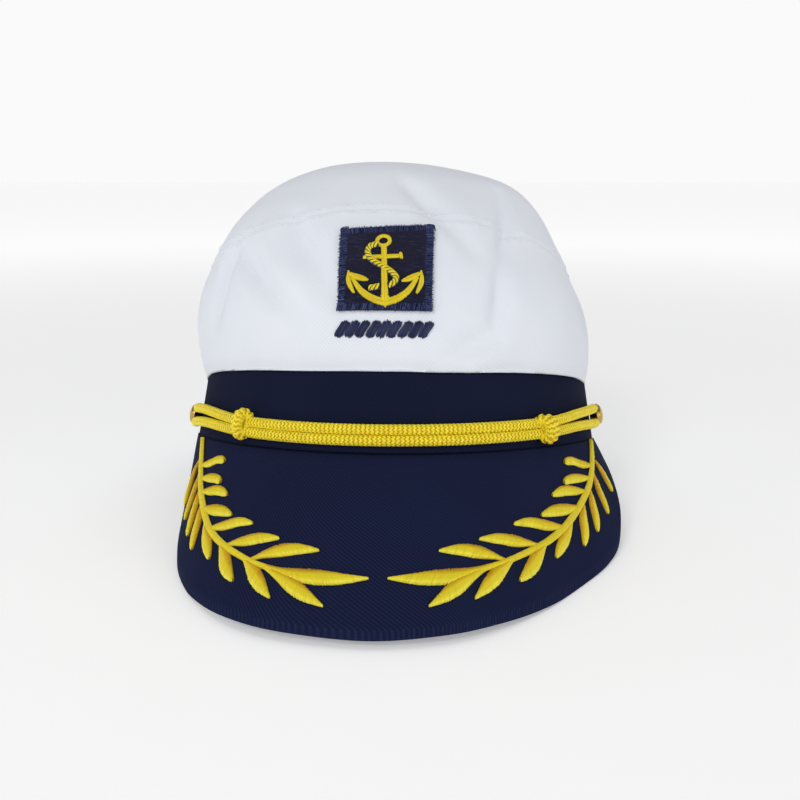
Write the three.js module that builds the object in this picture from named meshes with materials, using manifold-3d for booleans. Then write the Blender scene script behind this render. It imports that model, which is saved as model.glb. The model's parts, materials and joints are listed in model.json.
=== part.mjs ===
// A yachting cap at rest on a table: a white crown, a navy band and visor, a gold cord and embroidery.
// Millimetres, +Z up, the front of the cap towards -Y. Each piece is drawn with the rim of the band
// level at z = 0 and centred on the origin; at the end the whole cap leans forward onto its visor.
import * as THREE from 'three';
import { mergeVertices } from 'three/addons/utils/BufferGeometryUtils.js';
import Module from 'manifold-3d';

const wasm = await Module();
wasm.setup();

// Air between two pieces that touch
const clearance = 0.3;

// Band, measured outside its lower rim
const headWidth = 172;
const headLength = 202;
const bandHeight = 27.3;
const bandWall = 2;
const bandFlare = 4;
const rimDip = 4.9;
const hemDip = 2.3;

// Crown, above the band
const crownHeight = 91.8;
const crownWall = 1.6;
const crownLean = 6.8;
const crownSlope = 3;
const hemSag = 4.6;
const hemLip = 0.8;
const foldWidth = 7;
const foldDepth = 1.6;
const sidePanelFront = 59;
const sidePanelSide = 46;
const sidePanelBack = 38;

// Visor
const visorReach = 52;
const visorDrop = 54.5;
const visorBulge = 1.5;
const visorWall = 2.2;
const visorSweep = 86;
const visorSeat = 1.2;

// Cord, its two knots and its buttons
const cordDiameter = 3.8;
const buttonAngle = 80;
const buttonDiameter = 9.4;
const buttonHeight = 7;
const buttonNeck = 1.8;
const knotAngleLeft = -36;
const knotAngleRight = 42;
const knotWidth = 7.2;
const knotHeight = 11.8;
const knotDepth = 7.8;

// Badge on the front of the crown
const patchWidth = 32.8;
const patchHeight = 34.2;
const patchWall = 1.3;
const patchRise = 23.3;
const patchShift = 0.5;
const patchSkew = 2.4;
const anchorRelief = 1.1;
const barLength = 33.4;
const barWidth = 6.2;
const barRise = 13.6;
const barRelief = 0.9;
const barTwists = 9;

// Laurel sprays on the visor
const leafWidth = 4.9;
const leafRelief = 1.1;
const stemWidth = 2.2;
const laurelShift = 0.06;

const degree = Math.PI / 180;
const cordRadius = cordDiameter / 2;
const strandOffset = cordRadius + clearance / 2;
const loopOffset = buttonNeck / 2 + 2 * clearance + cordRadius;

// The crown's outline: climb is the way up it, rise a share of crownHeight, spread one of the rim's half-width
const crownProfile = [
  { at: 0.0, rise: 0.0, spread: 0.966 },
  { at: 0.05, rise: 0.05, spread: 0.985 },
  { at: 0.12, rise: 0.15, spread: 0.994 },
  { at: 0.20, rise: 0.26, spread: 0.987 },
  { at: 0.28, rise: 0.37, spread: 0.960 },
  { at: 0.36, rise: 0.47, spread: 0.917 },
  { at: 0.44, rise: 0.565, spread: 0.870 },
  { at: 0.53, rise: 0.66, spread: 0.802 },
  { at: 0.62, rise: 0.75, spread: 0.719 },
  { at: 0.72, rise: 0.84, spread: 0.622 },
  { at: 0.82, rise: 0.915, spread: 0.487 },
  { at: 0.91, rise: 0.97, spread: 0.300 },
  { at: 1.0, rise: 0.99, spread: 0.0 },
];

// Creases in the crown's cloth between two places, each an angle from the front and a climb:
// width is a share of foldWidth and depth one of foldDepth
const crownFolds = [
  { fromAngle: -26, fromClimb: 0.50, toAngle: -11, toClimb: 0.20, width: 0.86, depth: 0.94 },
  { fromAngle: -44, fromClimb: 0.39, toAngle: -24, toClimb: 0.18, width: 0.86, depth: 0.81 },
  { fromAngle: -50, fromClimb: 0.42, toAngle: -52, toClimb: 0.16, width: 1.0, depth: 1.19 },
  { fromAngle: 48, fromClimb: 0.62, toAngle: 34, toClimb: 0.30, width: 1.0, depth: 1.0 },
  { fromAngle: 34, fromClimb: 0.30, toAngle: 29, toClimb: 0.12, width: 0.86, depth: 1.06 },
  { fromAngle: 29, fromClimb: 0.12, toAngle: 17, toClimb: 0.06, width: 0.86, depth: 0.81 },
  { fromAngle: 10, fromClimb: 0.68, toAngle: 26, toClimb: 0.37, width: 1.0, depth: 0.81 },
  { fromAngle: 118, fromClimb: 0.45, toAngle: 104, toClimb: 0.10, width: 1.29, depth: 1.0 },
  { fromAngle: -128, fromClimb: 0.40, toAngle: -146, toClimb: 0.12, width: 1.29, depth: 1.0 },
];

// The visor's free edge: forward, outRight and outLeft are shares of visorReach, drop one of visorDrop
const visorEdge = [
  { at: 0.0, forward: 1.0, outRight: 0.0, outLeft: 0.0, drop: 1.0 },
  { at: 0.12, forward: 0.955, outRight: 0.140, outLeft: 0.210, drop: 0.976 },
  { at: 0.25, forward: 0.890, outRight: 0.135, outLeft: 0.235, drop: 0.941 },
  { at: 0.40, forward: 0.785, outRight: 0.123, outLeft: 0.190, drop: 0.890 },
  { at: 0.55, forward: 0.690, outRight: 0.110, outLeft: 0.115, drop: 0.815 },
  { at: 0.70, forward: 0.650, outRight: 0.138, outLeft: 0.025, drop: 0.717 },
  { at: 0.80, forward: 0.600, outRight: 0.156, outLeft: -0.020, drop: 0.615 },
  { at: 0.88, forward: 0.470, outRight: 0.150, outLeft: -0.030, drop: 0.430 },
  { at: 0.95, forward: 0.235, outRight: 0.090, outLeft: -0.010, drop: 0.190 },
  { at: 1.0, forward: 0.020, outRight: 0.0, outLeft: 0.0, drop: 0.0 },
];

// The cord's middle line: its height above the rim, a share of the band's height, at angles from the front
const cordRoute = [
  { at: -80, height: 0.32 },
  { at: -58, height: 0.355 },
  { at: -36, height: 0.275 },
  { at: 0, height: 0.25 },
  { at: 42, height: 0.285 },
  { at: 60, height: 0.36 },
  { at: 80, height: 0.39 },
];

// A laurel stem on the visor: sweep is a share of the way round to its end, depth one of the way to its edge
const laurelStem = [
  { sweep: 0.730, depth: 0.05 },
  { sweep: 0.685, depth: 0.245 },
  { sweep: 0.650, depth: 0.375 },
  { sweep: 0.585, depth: 0.50 },
  { sweep: 0.528, depth: 0.60 },
  { sweep: 0.447, depth: 0.665 },
  { sweep: 0.364, depth: 0.70 },
  { sweep: 0.280, depth: 0.745 },
  { sweep: 0.200, depth: 0.775 },
];

// Its leaves: root is a share of the stem, sweep and depth place the tip, bow bends the leaf sideways
const laurelLeaves = [
  { root: 0.14, sweep: 0.521, depth: 0.177, bow: -0.14, girth: 0.75 },
  { root: 0.23, sweep: 0.512, depth: 0.33, bow: -0.12, girth: 0.75 },
  { root: 0.33, sweep: 0.455, depth: 0.40, bow: -0.12, girth: 0.85 },
  { root: 0.45, sweep: 0.400, depth: 0.52, bow: -0.12, girth: 0.9 },
  { root: 0.60, sweep: 0.312, depth: 0.54, bow: -0.10, girth: 0.95 },
  { root: 0.75, sweep: 0.213, depth: 0.59, bow: -0.10, girth: 1.0 },
  { root: 0.89, sweep: 0.112, depth: 0.63, bow: -0.10, girth: 1.05 },
  { root: 0.97, sweep: 0.017, depth: 0.755, bow: 0.04, girth: 1.1 },
  { root: 0.12, sweep: 0.774, depth: 0.68, bow: -0.05, girth: 0.6 },
  { root: 0.23, sweep: 0.700, depth: 0.73, bow: -0.05, girth: 0.65 },
  { root: 0.33, sweep: 0.617, depth: 0.79, bow: -0.05, girth: 0.75 },
  { root: 0.44, sweep: 0.548, depth: 0.83, bow: -0.06, girth: 0.85 },
  { root: 0.52, sweep: 0.427, depth: 0.805, bow: -0.07, girth: 0.9 },
  { root: 0.69, sweep: 0.309, depth: 0.876, bow: -0.10, girth: 1.0 },
  { root: 0.85, sweep: 0.185, depth: 0.91, bow: -0.12, girth: 1.05 },
  { root: 0.97, sweep: 0.082, depth: 0.914, bow: -0.14, girth: 1.1 },
];

// Strokes of the anchor, in shares of the patch's half-width and half-height, through three places each
const anchorStrokes = [
  { from: [-0.05, 0.50], mid: [-0.02, -0.15], to: [0.02, -0.84], width: 0.145, relief: 1.0 },
  { from: [-0.49, 0.20], mid: [-0.05, 0.225], to: [0.35, 0.255], width: 0.11, relief: 0.9 },
  { from: [0.34, 0.17], mid: [0.35, 0.255], to: [0.36, 0.34], width: 0.09, relief: 0.95 },
  { from: [-0.72, -0.26], mid: [-0.49, -0.61], to: [0.05, -0.88], width: 0.16, relief: 0.95 },
  { from: [0.71, -0.24], mid: [0.49, -0.60], to: [-0.01, -0.88], width: 0.16, relief: 0.95 },
  { from: [-0.77, -0.15], mid: [-0.58, -0.29], to: [-0.34, -0.365], width: 0.17, relief: 0.85 },
  { from: [-0.77, -0.15], mid: [-0.74, -0.40], to: [-0.63, -0.62], width: 0.15, relief: 0.85 },
  { from: [0.76, -0.13], mid: [0.57, -0.28], to: [0.34, -0.36], width: 0.17, relief: 0.85 },
  { from: [0.76, -0.13], mid: [0.75, -0.37], to: [0.65, -0.60], width: 0.15, relief: 0.85 },
];

// The rope that winds round the anchor's shank, through these places on the patch
const ropeOverShank = [
  [-0.20, 0.53], [-0.42, 0.40], [-0.42, 0.17], [-0.06, 0.0], [0.23, -0.18], [0.23, -0.37], [0.07, -0.48],
];
const ropeUnderShank = [[-0.02, -0.45], [-0.14, -0.48], [-0.36, -0.58]];
const ropeWidth = 0.15;

const anchorRing = { across: -0.055, up: 0.635, radius: 0.145, width: 0.09 };

// Value of one column of a table at a place between its rows, on a smooth curve through them
function alongRows(rows, column, at) {
  let next = rows.findIndex((row) => row.at >= at);
  next = next < 0 ? rows.length - 1 : Math.max(1, next);
  const a = rows[next - 1];
  const b = rows[next];
  const before = rows[next - 2] ?? a;
  const after = rows[next + 1] ?? b;
  const span = b.at - a.at;
  const slopeA = (b[column] - before[column]) / (b.at - before.at) * span;
  const slopeB = (after[column] - a[column]) / (after.at - a.at) * span;
  const t = THREE.MathUtils.clamp((at - a.at) / span, 0, 1);
  const t2 = t * t;
  const t3 = t2 * t;
  return (2 * t3 - 3 * t2 + 1) * a[column] + (t3 - 2 * t2 + t) * slopeA
    + (3 * t2 - 2 * t3) * b[column] + (t3 - t2) * slopeB;
}

// A point on the head's oval, outset beyond the rim, at an angle from the front
function ovalPoint(angle, outset, z) {
  const x = (headWidth / 2 + outset) * Math.sin(angle);
  const y = -(headLength / 2 + outset) * Math.cos(angle);
  return new THREE.Vector3(x, y, z);
}

const frontShare = (angle) => Math.max(0, Math.cos(angle)) ** 2;
const rimZ = (angle) => -rimDip * frontShare(angle);
const hemZ = (angle) => bandHeight - hemDip * frontShare(angle);

// The climb below which the hem sags, and how closely the sag keeps to the sides
const sagClimb = 0.15;
const sagFocus = 10;

// How far the outside of the band stands from the rim's oval at a height
function bandOutset(angle, z) {
  return -bandFlare * (z - rimZ(angle)) / (hemZ(angle) - rimZ(angle));
}

// The unit normal of a surface, a function of two shares, by small steps along both
function surfaceNormal(surface, a, b, inside) {
  const step = 0.002;
  const alongA = surface(a + step, b).sub(surface(a - step, b));
  const alongB = surface(a, b + step).sub(surface(a, b - step));
  const normal = alongA.cross(alongB).normalize();
  const outward = surface(a, b).sub(inside);
  return normal.dot(outward) < 0 ? normal.negate() : normal;
}

// Crown cloth without its creases
function crownForm(angle, climb) {
  const rise = alongRows(crownProfile, 'rise', climb);
  const spread = alongRows(crownProfile, 'spread', climb);
  const sag = hemSag * Math.sin(angle) ** sagFocus * Math.max(0, 1 - climb / sagClimb) ** 2;
  const point = ovalPoint(angle, 0, 0).multiplyScalar(spread);
  point.x -= crownLean * rise;
  point.z = hemZ(angle) + crownHeight * rise + crownSlope * rise * spread * Math.cos(angle) - sag;
  return point;
}

const crownMiddle = new THREE.Vector3(0, 0, bandHeight + crownHeight / 3);
const meridian = crownHeight + headWidth / 4;

// How much of its depth a crease keeps at its ends
const foldEnds = 0.35;

// How deep the creases press the cloth at a place
function creaseDepth(angle, climb) {
  let depth = 0;
  for (const fold of crownFolds) {
    const from = new THREE.Vector2(fold.fromAngle * degree * headWidth / 2, fold.fromClimb * meridian);
    const to = new THREE.Vector2(fold.toAngle * degree * headWidth / 2, fold.toClimb * meridian);
    const here = new THREE.Vector2(angle * headWidth / 2, climb * meridian);
    const run = to.clone().sub(from);
    const share = THREE.MathUtils.clamp(here.clone().sub(from).dot(run) / run.lengthSq(), 0, 1);
    const away = here.distanceTo(from.clone().addScaledVector(run, share));
    const fade = Math.min(1, foldEnds + 4 * (1 - foldEnds) * share * (1 - share));
    depth += foldDepth * fold.depth * fade * Math.exp(-((away / (foldWidth * fold.width)) ** 2));
  }
  return depth;
}

// A point of the crown, lifted off its cloth or, with a negative lift, inside it
function crownPoint(angle, climb, lift = 0) {
  const normal = surfaceNormal(crownForm, angle, Math.min(climb, 0.995), crownMiddle);
  return crownForm(angle, climb).addScaledVector(normal, lift - creaseDepth(angle, climb));
}

// The climb at which the crown's outline reaches a share of its height
function climbAtRise(rise) {
  let low = 0;
  let high = 1;
  for (let turn = 0; turn < 24; turn++) {
    const middle = (low + high) / 2;
    if (alongRows(crownProfile, 'rise', middle) < rise) low = middle;
    else high = middle;
  }
  return low;
}

// Where the side panel ends and the top panel begins, high in front and low at the back
function seamClimb(angle) {
  const end = Math.cos(angle) > 0 ? sidePanelFront : sidePanelBack;
  const height = sidePanelSide + (end - sidePanelSide) * Math.cos(angle) ** 2;
  return climbAtRise(Math.min(0.9, height / crownHeight));
}

const visorRows = [
  ...visorEdge.slice(1).reverse().map((row) => ({ ...row, at: -row.at, out: -row.outLeft })),
  ...visorEdge.map((row) => ({ ...row, out: row.outRight })),
];

// A point on top of the visor: sweep runs from -1 at its left end to 1, depth from the band to its edge
function visorForm(sweep, depth) {
  const angle = sweep * visorSweep * degree;
  const root = ovalPoint(angle, clearance, rimZ(angle) + visorSeat);
  const edge = ovalPoint(angle, 0, 0);
  edge.x += visorReach * alongRows(visorRows, 'out', sweep);
  edge.y -= visorReach * alongRows(visorRows, 'forward', sweep);
  edge.z = -visorDrop * alongRows(visorRows, 'drop', sweep);
  const point = root.lerp(edge, depth);
  point.z += visorBulge * 4 * depth * (1 - depth) * (1 - sweep * sweep);
  return point;
}

const visorMiddle = new THREE.Vector3(0, 0, -visorDrop * 2);

function visorPoint(sweep, depth, lift = 0) {
  return visorForm(sweep, depth).addScaledVector(surfaceNormal(visorForm, sweep, depth, visorMiddle), lift);
}

// The visor's underside lies straight below its top, so that its root clears the band
function visorUnder(sweep, depth) {
  const steepness = Math.max(0.5, surfaceNormal(visorForm, sweep, depth, visorMiddle).z);
  const point = visorForm(sweep, depth);
  point.z -= visorWall / steepness;
  return point;
}

// A closed body from points and faces, with its faces turned outwards
function closedGeometry(points, faces) {
  let volume = 0;
  for (const [a, b, c] of faces) {
    volume += points[a].dot(points[b].clone().cross(points[c]));
  }
  const turned = volume < 0 ? faces.map(([a, b, c]) => [a, c, b]) : faces;
  const geometry = new THREE.BufferGeometry();
  geometry.setAttribute('position', new THREE.Float32BufferAttribute(points.flatMap((p) => p.toArray()), 3));
  geometry.setIndex(turned.flat());
  return geometry;
}

const quad = (a, b, c, d) => [[a, b, c], [a, c, d]];

// A ring whose section at each step round is a closed loop of points
function ringBody(steps, loopAt) {
  const loops = Array.from({ length: steps }, (_, step) => loopAt(step / steps * 2 * Math.PI - Math.PI));
  const size = loops[0].length;
  const faces = [];
  for (let step = 0; step < steps; step++) {
    const here = step * size;
    const next = ((step + 1) % steps) * size;
    for (let k = 0; k < size; k++) {
      const after = (k + 1) % size;
      faces.push(...quad(here + k, here + after, next + after, next + k));
    }
  }
  return closedGeometry(loops.flat(), faces);
}

// A body lofted through closed loops, with a flat cap at either end
function loftedBody(loops) {
  const size = loops[0].length;
  const faces = [];
  for (let row = 0; row + 1 < loops.length; row++) {
    for (let k = 0; k < size; k++) {
      const after = (k + 1) % size;
      faces.push(...quad(row * size + k, row * size + after, (row + 1) * size + after, (row + 1) * size + k));
    }
  }
  const last = (loops.length - 1) * size;
  for (let k = 1; k + 1 < size; k++) {
    faces.push([0, k + 1, k]);
    faces.push([last, last + k, last + k + 1]);
  }
  return closedGeometry(loops.flat(), faces);
}

// A sheet between an upper and a lower surface, both functions of two shares
function sheetBody(acrossShares, alongShares, upper, lower) {
  const size = alongShares.length;
  const points = [];
  for (const surface of [upper, lower]) {
    for (const across of acrossShares) {
      for (const along of alongShares) points.push(surface(across, along));
    }
  }
  const under = acrossShares.length * size;
  const faces = [];
  for (let row = 0; row + 1 < acrossShares.length; row++) {
    for (let k = 0; k + 1 < size; k++) {
      const corner = row * size + k;
      faces.push(...quad(corner, corner + 1, corner + size + 1, corner + size));
      faces.push(...quad(under + corner, under + corner + size, under + corner + size + 1, under + corner + 1));
    }
  }
  const rim = [];
  for (let k = 0; k + 1 < size; k++) rim.push(k);
  for (let row = 0; row + 1 < acrossShares.length; row++) rim.push(row * size + size - 1);
  for (let k = size - 1; k > 0; k--) rim.push(under - size + k);
  for (let row = acrossShares.length - 1; row > 0; row--) rim.push(row * size);
  rim.forEach((here, index) => {
    const next = rim[(index + 1) % rim.length];
    faces.push(...quad(next, here, under + here, under + next));
  });
  return closedGeometry(points, faces);
}

const shares = (count) => Array.from({ length: count + 1 }, (_, step) => step / count);

function toSolid(geometry) {
  const bare = geometry.clone();
  bare.deleteAttribute('normal');
  bare.deleteAttribute('uv');
  const merged = mergeVertices(bare, 1e-4);
  const vertProperties = new Float32Array(merged.attributes.position.array);
  const triVerts = new Uint32Array(merged.index.array);
  return new wasm.Manifold(new wasm.Mesh({ numProp: 3, vertProperties, triVerts }));
}

function toGeometry(solid) {
  const mesh = solid.getMesh();
  const geometry = new THREE.BufferGeometry();
  geometry.setAttribute('position', new THREE.BufferAttribute(new Float32Array(mesh.vertProperties), 3));
  geometry.setIndex(new THREE.BufferAttribute(new Uint32Array(mesh.triVerts), 1));
  return geometry;
}

// Several geometries joined into one
function joined(geometries) {
  return toGeometry(geometries.map(toSolid).reduce((whole, piece) => whole.add(piece)));
}

// A raised stroke of embroidery on a surface: its section is a flat foot under a crest
function stroke(surface, path, steps, halfWidthAt, foot, relief) {
  const loops = shares(steps).map((share) => {
    const here = path.getPoint(share);
    const ahead = path.getPoint(Math.min(1, share + 0.01));
    const behind = path.getPoint(Math.max(0, share - 0.01));
    const low = surface(here.x, here.y, foot);
    const up = surface(here.x, here.y, foot + 1).sub(low);
    const along = surface(ahead.x, ahead.y, foot).sub(surface(behind.x, behind.y, foot)).normalize();
    const side = up.clone().cross(along).multiplyScalar(halfWidthAt(share));
    return [low.clone().add(side), low.clone().addScaledVector(up, relief), low.clone().sub(side)];
  });
  return loftedBody(loops);
}

// A leaf's half-width along its length: a narrow foot, a full middle and a point
function leafOutline(share) {
  return Math.max(0.07, Math.sin(Math.PI * share ** 0.8) ** 0.8);
}

function material(color, roughness, metalness = 0) {
  return new THREE.MeshStandardMaterial({ color, roughness, metalness });
}

const whiteCloth = material('#e4e8f0', 0.9);
const navyCloth = material('#181e33', 0.85);
const navyThread = material('#232d52', 0.7);
const goldCord = material('#d3bc26', 0.55);
const goldThread = material('#c9ae22', 0.5);
const goldMetal = material('#c9a13a', 0.25, 1);

function makeBand() {
  const loopAt = (angle) => {
    const low = rimZ(angle);
    const high = hemZ(angle);
    const middle = (low + high) / 2;
    return [
      ovalPoint(angle, 0, low),
      ovalPoint(angle, bandOutset(angle, middle), middle),
      ovalPoint(angle, -bandFlare, high),
      ovalPoint(angle, -bandFlare - bandWall, high),
      ovalPoint(angle, -bandWall, low),
    ];
  };
  return ringBody(64, loopAt);
}

function makeCrownSide() {
  const outerShares = [0, 0.1, 0.25, 0.42, 0.6, 0.8, 1];
  const innerShares = [1, 0.66, 0.33, 0.12];
  const lipInside = -bandFlare - bandWall;
  const lipOutside = -bandFlare + hemLip;
  const loopAt = (angle) => {
    const seam = seamClimb(angle);
    const lipZ = hemZ(angle) + clearance;
    return [
      ovalPoint(angle, lipInside, lipZ),
      ovalPoint(angle, lipOutside, lipZ),
      ...outerShares.map((share) => crownPoint(angle, seam * share)),
      ...innerShares.map((share) => crownPoint(angle, seam * share, -crownWall)),
      ovalPoint(angle, lipInside, lipZ + crownWall),
    ];
  };
  return ringBody(78, loopAt);
}

function makeCrownTop() {
  const steps = 56;
  const rows = 6;
  const gap = clearance / meridian;
  const points = [];
  for (const lift of [0, -crownWall]) {
    for (let row = 0; row < rows; row++) {
      for (let step = 0; step < steps; step++) {
        const angle = step / steps * 2 * Math.PI - Math.PI;
        const seam = seamClimb(angle) + gap;
        points.push(crownPoint(angle, seam + (1 - seam) * row / rows, lift));
      }
    }
  }
  points.push(crownPoint(0, 1), crownPoint(0, 1, -crownWall));
  const under = rows * steps;
  const faces = [];
  for (let step = 0; step < steps; step++) {
    const next = (step + 1) % steps;
    for (let row = 0; row + 1 < rows; row++) {
      const low = row * steps;
      const high = low + steps;
      faces.push(...quad(low + step, low + next, high + next, high + step));
      faces.push(...quad(under + low + next, under + low + step, under + high + step, under + high + next));
    }
    const last = (rows - 1) * steps;
    faces.push([last + step, last + next, 2 * under]);
    faces.push([under + last + next, under + last + step, 2 * under + 1]);
    faces.push(...quad(next, step, under + step, under + next));
  }
  return closedGeometry(points, faces);
}

function makeVisor() {
  const bluntEnds = 0.985;
  const sweeps = shares(40).map((share) => bluntEnds * (2 * share - 1));
  return sheetBody(sweeps, shares(4), (sweep, depth) => visorForm(sweep, depth), visorUnder);
}

// The middle line of one strand: side is 1 for the upper strand and -1 for the lower
function strandPoint(angle, side) {
  const knots = [knotAngleLeft * degree, knotAngleRight * degree];
  const knot = angle < 0 ? knots[0] : knots[1];
  const button = Math.sign(angle || 1) * buttonAngle * degree;
  const parting = THREE.MathUtils.clamp((angle - knot) / (button - knot), 0, 1);
  const apart = THREE.MathUtils.lerp(strandOffset, loopOffset, THREE.MathUtils.smoothstep(parting, 0, 1));
  return cordPoint(angle, side * apart);
}

function cordZ(angle) {
  const height = alongRows(cordRoute, 'height', angle / degree);
  return THREE.MathUtils.lerp(rimZ(angle), hemZ(angle), height);
}

function cordPoint(angle, above) {
  const z = cordZ(angle) + above;
  return ovalPoint(angle, bandOutset(angle, z) + clearance + cordRadius, z);
}

// Points evenly round a circle that lies along two directions
function circlePoints(centre, first, second, radius, sides) {
  return Array.from({ length: sides }, (_, side) => {
    const turn = side / sides * 2 * Math.PI;
    return centre.clone()
      .addScaledVector(first, radius * Math.cos(turn))
      .addScaledVector(second, radius * Math.sin(turn));
  });
}

function makeCord() {
  const points = [];
  const button = buttonAngle * degree;
  const strandSteps = 24;
  const turnSteps = 6;
  for (const side of [1, -1]) {
    for (const share of shares(strandSteps)) {
      points.push(strandPoint(side * button * (2 * share - 1), side));
    }
    for (let step = 1; step < turnSteps; step++) {
      const turn = Math.PI * step / turnSteps;
      const past = loopOffset * Math.sin(turn) / (headLength / 2);
      points.push(cordPoint(side * (button + past), side * loopOffset * Math.cos(turn)));
    }
  }
  const sides = 8;
  const loops = points.map((here, index) => {
    const ahead = points[(index + 1) % points.length];
    const behind = points[(index + points.length - 1) % points.length];
    const along = ahead.clone().sub(behind).normalize();
    const out = new THREE.Vector3(here.x, here.y, 0).normalize();
    const up = along.clone().cross(out).normalize();
    const away = up.clone().cross(along);
    return circlePoints(here, up, away, cordRadius, sides);
  });
  const faces = [];
  loops.forEach((_, row) => {
    const next = (row + 1) % loops.length;
    for (let k = 0; k < sides; k++) {
      const after = (k + 1) % sides;
      faces.push(...quad(row * sides + k, row * sides + after, next * sides + after, next * sides + k));
    }
  });
  return closedGeometry(loops.flat(), faces);
}

// The place on the band under the cord at an angle, with its directions out and up
function bandPlace(angle) {
  const z = cordZ(angle);
  const foot = ovalPoint(angle, bandOutset(angle, z), z);
  const along = ovalPoint(angle + 0.01, 0, 0).sub(ovalPoint(angle - 0.01, 0, 0)).normalize();
  const slant = ovalPoint(angle, -bandFlare, hemZ(angle)).sub(ovalPoint(angle, 0, rimZ(angle)));
  const out = along.clone().cross(slant).normalize();
  const up = out.clone().cross(along);
  const frame = new THREE.Matrix4().makeBasis(out, along, up).setPosition(foot);
  return { out, up, frame };
}

// A knot of cord round both strands: a lump of two turns with a channel for each strand
function makeKnot(angle) {
  const place = bandPlace(angle);
  const turnWidth = knotWidth * 0.36;
  const turnTilt = 0.25;
  const channelSides = 10;
  const channelRadius = (cordRadius + clearance) / Math.cos(Math.PI / channelSides);
  const channelReach = knotWidth * 1.4 / (headLength / 2);
  let knot = null;
  for (const side of [1, -1]) {
    const turn = new THREE.SphereGeometry(1, 14, 10);
    turn.scale(knotDepth / 2, turnWidth, knotHeight / 2);
    turn.rotateX(side * turnTilt);
    turn.translate(clearance + knotDepth / 2, side * knotWidth / 4, 0);
    const lump = toSolid(turn.applyMatrix4(place.frame));
    knot = knot ? knot.add(lump) : lump;
  }
  for (const side of [1, -1]) {
    const channel = shares(6).map((share) => {
      const here = angle + (2 * share - 1) * channelReach;
      const centre = strandPoint(here, side);
      const section = bandPlace(here);
      return circlePoints(centre, section.up, section.out, channelRadius, channelSides);
    });
    knot = knot.subtract(toSolid(loftedBody(channel)));
  }
  const pieces = knot.decompose().sort((a, b) => b.volume() - a.volume());
  return toGeometry(pieces[0]);
}

// A domed metal button whose neck stands in the cord's loop
function makeButton(angle) {
  const neck = buttonNeck / 2;
  const dome = buttonDiameter / 2;
  const under = clearance + cordDiameter + clearance;
  const domeHeight = buttonHeight - under;
  const profile = [
    new THREE.Vector2(0, clearance),
    new THREE.Vector2(neck, clearance),
    new THREE.Vector2(neck, under),
    new THREE.Vector2(dome * 0.93, under),
    new THREE.Vector2(dome, under + domeHeight * 0.2),
    new THREE.Vector2(dome * 0.92, under + domeHeight * 0.5),
    new THREE.Vector2(dome * 0.6, under + domeHeight * 0.87),
    new THREE.Vector2(0, buttonHeight),
  ];
  const button = new THREE.LatheGeometry(profile, 16).rotateZ(-Math.PI / 2);
  return toGeometry(toSolid(button.applyMatrix4(bandPlace(angle).frame)));
}

// A place on the crown's front, millimetres to the right of the cap's middle and up the cloth
function frontPoint(across, up, lift) {
  const climb = up / meridian;
  const spread = alongRows(crownProfile, 'spread', climb);
  const leaning = crownLean * alongRows(crownProfile, 'rise', climb);
  return crownPoint(Math.asin((across + leaning) / (spread * headWidth / 2)), climb, lift);
}

// A place on the patch in shares of its half-width and half-height, its top edge askew
function patchPlace(across, up, lift) {
  const height = patchRise + (up + 1) * patchHeight / 2;
  const askew = patchSkew / 2 * across * (up + 1) / 2;
  return frontPoint(patchShift + across * patchWidth / 2, height + askew, lift);
}

function makePatch() {
  const lines = shares(5).map((share) => 2 * share - 1);
  const upper = (across, up) => patchPlace(across, up, clearance + patchWall);
  const lower = (across, up) => patchPlace(across, up, clearance);
  return sheetBody(lines, lines, upper, lower);
}

function makeAnchor() {
  const half = patchWidth / 2;
  const foot = clearance + patchWall + clearance;
  const parts = anchorStrokes.map((row) => {
    const path = new THREE.SplineCurve([row.from, row.mid, row.to].map(([x, y]) => new THREE.Vector2(x, y)));
    const taper = (share) => row.width * half / 2 * (0.55 + 0.45 * Math.sin(Math.PI * share) ** 0.5);
    return stroke(patchPlace, path, 4, taper, foot, anchorRelief * row.relief);
  });
  for (const route of [ropeOverShank, ropeUnderShank]) {
    const path = new THREE.SplineCurve(route.map(([x, y]) => new THREE.Vector2(x, y)));
    const even = () => ropeWidth * half / 2;
    parts.push(stroke(patchPlace, path, route.length * 2, even, foot, anchorRelief * 1.08));
  }
  parts.push(makeAnchorRing(foot));
  return joined(parts);
}

function makeAnchorRing(foot) {
  const { across, up, radius, width } = anchorRing;
  const squash = patchWidth / patchHeight;
  const loopAt = (angle) => {
    const place = (away, lift) => patchPlace(
      across + away * Math.cos(angle),
      up + away * squash * Math.sin(angle),
      lift,
    );
    return [
      place(radius - width / 2, foot),
      place(radius, foot + anchorRelief),
      place(radius + width / 2, foot),
    ];
  };
  return ringBody(14, loopAt);
}

// A bar of embroidered rope twist under the patch
function makeBar() {
  const height = barRise + barWidth / 2;
  const path = new THREE.LineCurve(
    new THREE.Vector2(patchShift - barLength / 2, height),
    new THREE.Vector2(patchShift + barLength / 2, height),
  );
  const twist = (share) => barWidth / 2 * (0.62 + 0.38 * Math.abs(Math.sin(Math.PI * barTwists * share)));
  return stroke(frontPoint, path, barTwists * 3, twist, clearance, barRelief);
}

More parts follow.
